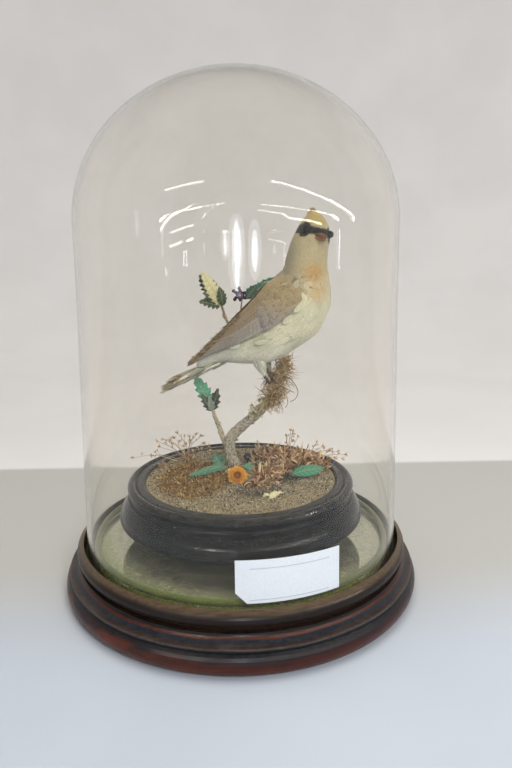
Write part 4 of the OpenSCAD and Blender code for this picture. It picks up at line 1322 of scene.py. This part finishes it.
t, angle = off_crease(draw.uniform(4, len(form) - 6, 6800), draw.uniform(0, 2 * np.pi, 6800))
k = len(t)
plumes(body, t, angle, draw.uniform(4.5, 7.0, k), draw.uniform(2.6, 3.8, k), 0.14, shorten=0.6)
t, angle = off_crease(draw.uniform(len(form) - 66, len(form) - 3, 3200), draw.uniform(0, 2 * np.pi, 3200))
k = len(t)
plumes(body, t, angle, draw.uniform(3.0, 4.2, k), draw.uniform(1.3, 2.0, k), 0.15, shorten=0.45)
k = 420
plumes(body, draw.uniform(2, 26, k), np.pi + draw.normal(size=k) * 0.7, draw.uniform(8, 13, k),
       draw.uniform(2.6, 4, k), 0.3)
k = 700
plumes(body, draw.uniform(20, 74, k), draw.normal(size=k) * 0.55, draw.uniform(7, 11, k),
       draw.uniform(3, 4.4, k), 0.5, above=2.2)
for leg_x, leg_y in ((14.5, -1.5), (18.5, 12.5)):
    k = 420
    a = draw.uniform(0, 2 * np.pi, k)
    down = draw.uniform(0, 1, k)
    r = 5.2 - 3.4 * down
    start = xyz(leg_x + 3.5 * down - 2 + r * np.cos(a), leg_y + 0.9 * r * np.sin(a), 154 - 8.5 * down)
    lean = xyz(-0.3 * np.cos(a), -0.3 * np.sin(a), -1.0) + [0.25, 0.05, 0]
    lean = lean + 0.12 * jitter(k)
    ribbons(body, start, lean, xyz(np.cos(a), np.sin(a), 0 * a), draw.uniform(2.6, 5.2, k), 0.9,
            pick([CREAM_PALE, UNDERTAIL], k, 0.12), 0.3)
body.make("bird_body_plumage", plume_look, replaces=["bird_skin"])

crest = Heap()
k = 260
a = draw.uniform(0, 2 * np.pi, k)
r = np.sqrt(draw.uniform(size=k))
root = np.array([49.6, 4.4, 241.5]) + xyz(6.6 * r * np.cos(a), 6.0 * r * np.sin(a), 4.2 * (1 - r**2))
tip = np.array([49.2, 7.0, 250.4]) + jitter(k) * [0.7, 1.2, 0.4]
tip[:, 0] += (root[:, 0] - 49.6) * 0.2
length = np.linalg.norm(tip - root, axis=-1)
ribbons(crest, root, tip - root, root - [49.8, 6, 238], length * draw.uniform(0.55, 1.06, k),
        draw.uniform(0.9, 1.7, k), KHAKI * draw.uniform(0.7, 1.15, (k, 1)), -0.15, steps=6)
crest.make("crest_plumes", plume_look, replaces=["crest"])

# each row: a, the wing's lower and upper edge there, and how far it stands out from the bird's middle
EDGES = np.array([[-4, -6.5, 6.0, 17.0], [1, -7.8, 8.6, 20.0], [13, -9.6, 10.7, 23.0], [26, -9.9, 7.8, 24.0],
                  [38, -8.0, 6.0, 22.0], [50, -5.6, 4.4, 17.5], [62, -3.0, 3.1, 11.5], [74, -1.2, 1.7, 6.0],
                  [86, -0.4, 0.4, 2.2]])


def wing_point(side, a, b, out):
    """A point of the folded wing, out millimetres above its surface."""
    low, high, depth = (np.interp(a, EDGES[:, 0], EDGES[:, i]) for i in (1, 2, 3))
    share = np.clip((b - low) / np.maximum(high - low, 0.3), -0.2, 1.2)
    y = depth * (1 - 0.5 * np.clip(share, 0, 1.2) ** 2.4) + out * (1 - 0.5 * np.clip(share, 0, 1))
    swell = out[..., None] * RISE * 0.4 * np.clip(share, 0, 1)[..., None]
    xz = SHOULDER + a[..., None] * RUN + b[..., None] * RISE + swell
    return xyz(xz[..., 0], MID + side * y, xz[..., 1])


def quill(heap, side, start, end, width, layer, shade, outer=None, tip_round=0.5, sag=0.0):
    """One wing feather from start to end, both (a, b)."""
    s = np.linspace(0, 1, 15)[:, None]
    w = np.linspace(-1, 1, 7)[None]
    a = start[0] + (end[0] - start[0]) * s + 0 * w
    centre = start[1] + (end[1] - start[1]) * s + sag * 4 * s * (1 - s)
    half = width / 2 * np.minimum(1, (s / 0.12 + 0.25)) * np.clip((1 - s) / 0.3, 0, 1) ** tip_round
    b = centre + half * w
    low, high = (np.interp(a, EDGES[:, 0], EDGES[:, i]) for i in (1, 2))
    b = np.clip(b, low - 0.4, high + 0.8)
    out = layer + 0.35 * (1 - w**2) * half / (width / 2) - 0.2 * s + 0.1
    flow = xyz(w, s, draw.uniform())
    colour = np.broadcast_to(shade, (15, 7, 3)).copy()
    if outer is not None:
        colour[:, 0] = outer
        colour[:, 1] = (outer + shade) / 2
    heap.grids(wing_point(side, a, b, out), colour * draw.uniform(0.94, 1.06), flow)


MAUVE = rgb("958c84")
MAUVE_PALE = rgb("aaa294")
BROWN_WING = rgb("857256")
SHOULDER_BROWN = rgb("978562")
EDGE_PALE = rgb("d3ccb4")


def wing(side, name, node):
    heap = Heap()
    a = np.linspace(-3, 84, 40)[:, None]
    v = np.linspace(0.02, 0.98, 12)[None]
    low, high = (np.interp(a, EDGES[:, 0], EDGES[:, i]) for i in (1, 2))
    b = low + (high - low) * v
    p = wing_point(side, a + 0 * v, b, np.full(b.shape, -0.4))
    # the wing's under sheet is darker: painted shade beneath the quills
    heap.grids(p, MAUVE * 0.8)
    for i in range(8):
        tip = 86 - 2.6 * i
        shade = MAUVE * (1 - i / 9) + BROWN_WING * i / 9
        quill(heap, side, (26, -8.6 + 1.2 * i), (tip, -0.5 + 0.36 * i), 5.6, 0.16 * i, shade,
              EDGE_PALE if i == 0 else
              MAUVE_PALE, 0.75)
    for i in range(7):
        quill(heap, side, (20, -6.0 + 1.5 * i), (67 - 2.2 * i, -2.2 + 0.9 * i), 6.0, 1.3 + 0.12 * i,
              MAUVE * (1 - i / 8) + BROWN_WING * 0.95 * i / 8, MAUVE_PALE, 0.6)
    for i in range(4):
        quill(heap, side, (15, 1.5 + 2.0 * i), (60 - 4 * i, 2.4 + 0.9 * i), 6.4, 2.1 + 0.14 * i, BROWN_WING,
              MAUVE, 0.55)
    heap.make(name + "_quills", quill_look, replaces=[node])
    heap = Heap()
    for row in range(12):
        a0 = 17 - 1.85 * row
        count = 11 + (row % 2)
        low, high = (np.interp(a0, EDGES[:, 0], EDGES[:, i]) for i in (1, 2))
        for i in range(count):
            share = (i + 0.5 * (row % 2)) / (count - 0.5)
            b0 = low + (high - low) * share + draw.normal() * 0.35
            brown = np.clip(0.15 * row + 0.7 * share - 0.25 + 0.15 * draw.normal(), 0, 1)
            tone = (MAUVE + (SHOULDER_BROWN - MAUVE) * brown) * draw.uniform(0.92, 1.1)
            reach = (13.5 - 0.55 * row) * draw.uniform(0.88, 1.12)
            quill(heap, side, (a0 + draw.normal() * 0.6, b0), (a0 + reach, b0 * 0.9 + draw.normal() * 0.5),
                  (4.6 - 0.13 * row) * draw.uniform(0.85, 1.1), 2.2 + 0.16 * row + draw.uniform(0, 0.25),
                  tone, tone * 1.12, 0.5)
    heap.make(name + "_coverts", covert_look)
    heap = Heap()
    k = 520
    a0 = draw.uniform(34, 84, k)
    top = np.interp(a0, EDGES[:, 0], EDGES[:, 2])
    start = wing_point(side, a0, top - draw.uniform(0, 1.4, k), np.full(k, 0.9))
    head = np.array([RUN[0], 0, RUN[1]]) + np.array([RISE[0], 0, RISE[1]]) * draw.uniform(0.05, 0.5, (k, 1))
    hairs(heap, start, head, draw.uniform(2.0, 5.0, k), 0.2,
          pick([BROWN_WING, rgb("54422c"), rgb("bfa97e")], k, 0.2), steps=3, curl=0.5)
    heap.make(name + "_loose_barbs", quill_look)


wing(-1, "wing_near", "wing_near")
wing(1, "wing_far", "wing_far")

tail = Heap()
for i in range(-5, 6):
    base = np.array([-8, MID + 0.45 * i, 154.6 + 0.1 * i])
    reach = 1 - 0.012 * abs(i) - (0.14 if i == -5 else 0) - draw.uniform(0, 0.07)
    splay = np.array([0.35, 1.3, 0.72]) * (i + draw.uniform(-0.4, 0.4))
    tip = base + (np.array([-55.2, MID, 131.9]) - [-8, MID, 154.6]) * reach + splay
    shade = rgb("9b9482") * draw.uniform(0.85, 1.1)
    u = np.linspace(0, 1, 20)[:, None]
    w = np.linspace(-1, 1, 7)[None]
    forward = unit(tip - base)
    across = unit(np.array([0.06, 1.0, 0.42]) - forward * 0.2)
    normal = unit(np.cross(forward, across))
    half = 1.75 * np.minimum(1, u / 0.2 + 0.35) * np.clip((1 - u) / 0.3, 0, 1) ** 0.75
    lift = -0.35 * w**2 + 0.12 * i + 1.2 * np.sin(np.pi * u) * 0.5
    shaft = base + forward * np.linalg.norm(tip - base) * u[..., None]
    p = shaft + across * (half * w)[..., None] + normal * lift[..., None]
    colour = np.broadcast_to(shade, p.shape).copy()
    ends = np.clip((u - 0.8) / 0.15, 0, 1)[..., None]
    colour = colour * (1 - 0.35 * ends) + rgb("b5a062") * np.clip((u - 0.93) / 0.05, 0, 1)[..., None] * 0.6
    if i == -5:
        colour = colour * (1 - ends * 0.75)
    tail.grids(p, colour, xyz(w, u, 0.0))
k = 300
along = draw.uniform(0.02, 0.72, k)
under_tail = np.array([-8, MID, 153.0]) + along[:, None] * np.array([-47, 0, -22.7])
start = under_tail + jitter(k) * [0.5, 2, 0.9]
ribbons(tail, start, np.array([-0.9, 0, -0.42]) + jitter(k) * [0.02, 0.08, 0.03],
        np.array([0.4, 0, -1]) + jitter(k) * [0, 0.5, 0], draw.uniform(8, 14, k),
        draw.uniform(2.4, 3.6, k) * (1 - along * 0.6), pick([UNDERTAIL, CREAM_PALE], k, 0.08), 0.12, steps=6)
k = 170
along = draw.uniform(-49, -38, k)
start = xyz(along, MID + draw.normal(size=k) * 2.4, 134.4 + (along + 50) * 0.48 + draw.normal(size=k) * 1.3)
hairs(tail, start, np.array([-0.9, 0, -0.4]) + jitter(k) * [0.1, 0.25, 0.2], draw.uniform(3, 6, k), 0.2,
      pick(palette("b8a468 8f8570 5c5140 cfc3a0"), k, 0.1), steps=4)
tail.make("tail_quills", quill_look, replaces=["tail_feathers"])


def bill(name, node, rise, length, depth, colour):
    """One half of the short broad bill."""
    heap = Heap()
    root = HEAD + FACE * 9.0 - BROW * (2.6 - rise)
    u = np.linspace(0, 1, 14)[:, None]
    a = circle(20)[None]
    wide = 4.6 * (1 - u**1.7) ** 0.8 + 0.15
    tall = depth * (1 - u**1.6) ** 0.8 + 0.12
    hook = -1.3 * u**2.4 if rise > 0 else 0.3 * u**2
    p = (root + FACE * (length * u)[..., None] + CHEEK * (wide * np.cos(a))[..., None]
         + BROW * (tall * np.sin(a) * np.where(np.sin(a) * rise > 0, 1.0, 0.3) + hook)[..., None])
    shade = colour * (1 - 0.5 * u[..., None] * (rise > 0)) + 0 * p
    heap.grids(p, shade, closed=True, caps=True)
    heap.make(name, horn_look, replaces=[node])


g = Graph("horn_bill")
streak = g.noise(g.place(), 1.4, 4.0, 0.6)
g.set(Base_Color=g.dim(g.shade(), g.span(streak, 0.3, 0.7, 0.75, 1.15)))
g.set(Roughness=g.span(streak, 0.3, 0.7, 0.3, 0.5))
g.bump(streak, 0.3, 0.08)
horn_look = g.material
bill("bill_upper_half", "bill_upper", 0.7, 9.0, 2.3, rgb("6e4524"))
bill("bill_lower_half", "bill_lower", -0.7, 8.2, 1.7, rgb("a06c34"))


def leg(name, node, knee, foot):
    """A thin scaly leg with three toes in front and one behind, gripping the branch."""
    heap = Heap()
    knee = np.asarray(knee, float)
    foot = np.asarray(foot, float)
    path = spline([knee, knee * 0.6 + foot * 0.4 + [-0.9, -0.4, 0], foot], 8)
    scales = 1.0 + 0.12 * np.cos(np.arange(len(path)) * 2.1)
    tube(heap, path, 1.05 * scales, 10, rgb("4e4034"))
    grip = np.array([26.4, 5.8, foot[2] + 0.5])
    toward = unit(grip - foot)
    for spread in (-0.75, 0, 0.75, 2.9):
        lead = spin(toward[None], np.array([0, 0, 1.0]), np.array([[spread * 0.55]]))[0]
        size = 6.2 if spread != 2.9 else 4.2
        toe = spline([foot, foot + lead * size * 0.35 + [0, -0.6, 0.9],
                      foot + lead * size * 0.75 + [0, -1.2, 0.2], foot + lead * size + [0, -0.8, -1.6]], 6)
        tube(heap, toe, np.linspace(0.9, 0.5, len(toe)), 8, rgb("4a3c30"))
        claw = spline([toe[-1], toe[-1] + lead * 0.9 + [0, 0, -0.5], toe[-1] + lead * 1.2 + [0, 0, -1.8]], 5)
        tube(heap, claw, np.linspace(0.48, 0.08, len(claw)), 7, rgb("1f1813"))
    heap.make(name, horn_look, replaces=[node])


leg("leg_near_scales", "leg_near", [14.5, -1.6, 148], [20.4, 2.4, 136])
leg("leg_far_scales", "leg_far", [19, 12.8, 148], [22.6, 9.6, 136])

# ---- camera, lights and the plain floor ----

EYE = Vector((0, -0.3972, 0.2168))
LOOK_DOWN = 0.49956
SHIFT_UP = 0.29832
SHIFT_RIGHT = 0.02765
ROLL = 0.01432
SENSOR = 36.0
# focal length as a share of the picture's height
FOCAL_SHARE = 600 / 768
ahead = Vector((0, math.cos(LOOK_DOWN), -math.sin(LOOK_DOWN)))
right = Vector((1, 0, 0))
above = right.cross(ahead)
ahead, above = (above * math.sin(SHIFT_UP) + ahead * math.cos(SHIFT_UP),
                above * math.cos(SHIFT_UP) - ahead * math.sin(SHIFT_UP))
ahead, right = (right * math.sin(SHIFT_RIGHT) + ahead * math.cos(SHIFT_RIGHT),
                right * math.cos(SHIFT_RIGHT) - ahead * math.sin(SHIFT_RIGHT))
right, above = (right * math.cos(ROLL) - above * math.sin(ROLL),
                right * math.sin(ROLL) + above * math.cos(ROLL))
lens = bpy.data.cameras.new("camera")
lens.lens = FOCAL_SHARE * SENSOR
lens.sensor_width = SENSOR
lens.clip_start = 0.01
camera = bpy.data.objects.new("camera", lens)
bpy.context.collection.objects.link(camera)
camera.matrix_world = Matrix.Translation(EYE) @ Matrix((right, above, -ahead)).transposed().to_4x4()
bpy.context.scene.camera = camera


def lamp(name, at, along, towards, size, watts, colour, mirrored):
    """A flat lamp whose longer side runs along one direction. A mirrored lamp shows in glossy surfaces but
    gives no soft light; a wide one is an ellipse."""
    light = bpy.data.lights.new(name, "AREA")
    light.shape = "ELLIPSE" if size[1] > 0.05 and mirrored else "RECTANGLE"
    light.size, light.size_y = size
    light.energy = watts
    light.color = colour
    made = bpy.data.objects.new(name, light)
    bpy.context.collection.objects.link(made)
    x = Vector(along).normalized()
    z = Vector(at) - Vector(towards)
    z = (z - x * z.dot(x)).normalized()
    made.matrix_world = Matrix.Translation(Vector(at)) @ Matrix((x, z.cross(x), z)).transposed().to_4x4()
    made.visible_camera = False
    made.visible_diffuse = not mirrored
    made.visible_transmission = mirrored
    made.visible_glossy = mirrored


lamp("ceiling_soft", (0.1, -0.1, 1.7), (1, 0, 0), (0, 0, 0), (1.5, 1.5), 18.0, (1.0, 0.985, 0.96), False)
lamp("front_soft", (0.35, -1.0, 0.75), (1, 0, 0), (0, 0, 0.15), (0.5, 0.4), 9.5, (0.97, 0.985, 1.0), False)
WARM = (1.0, 0.97, 0.9)
COOL = (0.86, 0.92, 1.0)
# the thin lamps hang on a drum round the dome; a place on it is degrees from the front and a height
DRUM_R = 1150
# brightness of every thin lamp, and its width as a share of the one given
GAIN = 2.8
THIN = 0.8
thin_lamps = []


def on_drum(degrees, height, nearer):
    """A lamp's end in metres."""
    turn = math.radians(degrees)
    reach = DRUM_R - nearer
    return Vector((reach * math.sin(turn), -reach * math.cos(turn), height)) * MM


def slit(start, end, width, bright, colour, nearer):
    """A thin lamp between two places, which hangs some way nearer than the drum."""
    start = on_drum(*start, nearer)
    end = on_drum(*end, nearer)
    length = (end - start).length
    wide = THIN * width * MM
    name = f"slit_{len(thin_lamps):02d}"
    thin_lamps.append(name)
    lamp(name, (start + end) / 2, end - start, (0, 0, 0.2), (length, wide),
         GAIN * bright * math.pi * length * wide, colour, True)


def tube(places, width, bright):
    """A warm tube that runs straight from each place to the next."""
    for start, end in zip(places, places[1:]):
        slit(start, end, width, bright, WARM, 0)


def window(degrees, rings):
    """A cool upright window; each ring (low, high, width, bright) hangs 10 mm nearer than the last."""
    for step, (low, high, width, bright) in enumerate(rings):
        slit((degrees, high), (degrees, low), width, bright, COOL, 10 * step)


# the long tubes that show in the crown
tube([(-46, 660), (-21, 815)], 20, 18)
tube([(22.5, 810), (47, 620), (79, 310)], 20, 22)
# the shorter ones below them, left and right
tube([(-48, 310), (-28.5, 395)], 11, 20)
tube([(-28.5, 395), (-7, 475)], 9, 18)
tube([(-48, 290), (-36, 345)], 9, 20)
tube([(-36, 345), (-25, 475)], 8, 18)
tube([(15, 455), (39, 390)], 11, 20)
tube([(39, 390), (66.5, 310)], 10, 20)
tube([(12, 375), (32.5, 315), (53.5, 300)], 7, 14)
tube([(12.5, 385), (29, 335)], 5, 10)
tube([(-20.5, 315), (-14.5, 405)], 6, 12)
tube([(-42, 260), (-34, 270)], 6, 9)
tube([(-31.5, 270), (-27, 275)], 6, 9)
tube([(-41.5, 285), (-26.5, 300)], 5, 7)
# the bright spindle, a bright stretch of tube, and the spindle's glow
window(-0.5, [(220, 265, 14, 420)])
tube([(-28.5, 395), (-22, 415)], 8, 150)
window(-0.5, [(190, 300, 32, 13), (185, 305, 76, 3), (180, 315, 150, 1.4), (170, 330, 270, 0.8)])
# the fainter spindle beside it
window(10.5, [(230, 275, 52, 7), (215, 290, 110, 2.4), (200, 310, 210, 1)])
# small upright windows round the sides
window(-33, [(225, 255, 16, 9)])
window(-31.5, [(225, 255, 10, 9)])
window(-45, [(205, 225, 12, 7)])
window(67, [(215, 290, 14, 14)])
window(29, [(220, 265, 12, 5)])
window(-65, [(280, 400, 12, 8)])

world = bpy.data.worlds.new("soft_room")
world.use_nodes = True
world.node_tree.nodes["Background"].inputs[0].default_value = four(rgb("e6e2da"))
world.node_tree.nodes["Background"].inputs[1].default_value = 0.4
bpy.context.scene.world = world
bpy.context.scene.view_settings.view_transform = "Standard"


# radius of the flat floor and of its curve up into the wall, and the wall's top
SWEEP = 750
WALL_TOP = 2300


def room():
    """A pale floor that curves up far away; the table's colour ends behind the object."""
    heap = Heap()
    a = np.linspace(0, np.pi / 2, 14)
    profile = [(r, 0) for r in (0.5, 250, 500, SWEEP)]
    profile += [(SWEEP + SWEEP * math.sin(v), SWEEP - SWEEP * math.cos(v)) for v in a[1:]]
    profile.append((2 * SWEEP, WALL_TOP))
    turns = circle(96)
    heap.grids(np.array([[(r * math.cos(v), r * math.sin(v), z) for v in turns] for r, z in profile]),
               closed=True)
    g = Graph("pale_room")
    where = g.place()
    y = g.split(where)[1]
    cloud = g.noise(where, 0.004, 3.0)
    table = g.mix(g.span(cloud, 0.3, 0.7), rgb("bbc2cc"), rgb("c3cad3"))
    wall = g.mix(g.span(cloud, 0.3, 0.7), rgb("dfdcda"), rgb("e5e2e0"))
    table = g.mix(g.span(y, -110.0, 20.0), table, rgb("bbb9b4"))
    # painted shade: the near side of the room, behind the camera, is darkened as if unlit, which also darkens
    # its reflection in the dome
    near_side = g.mix(g.span(y, -950.0, -1250.0), table, rgb("5f5d5a"))
    g.set(Base_Color=g.mix(g.span(y, 219.0, 231.0), near_side, wall), Roughness=0.75)
    g.set(Specular_IOR_Level=0.2)
    g.bump(g.noise(where, 0.8, 4.0), 0.1, 0.1)
    mesh = bpy.data.meshes.new("room")
    mesh.from_pydata((np.vstack(heap.points) * MM).tolist(), [], heap.faces)
    mesh.polygons.foreach_set("use_smooth", [True] * len(mesh.polygons))
    mesh.materials.append(g.material)
    made = bpy.data.objects.new("room", mesh)
    bpy.context.collection.objects.link(made)


room()
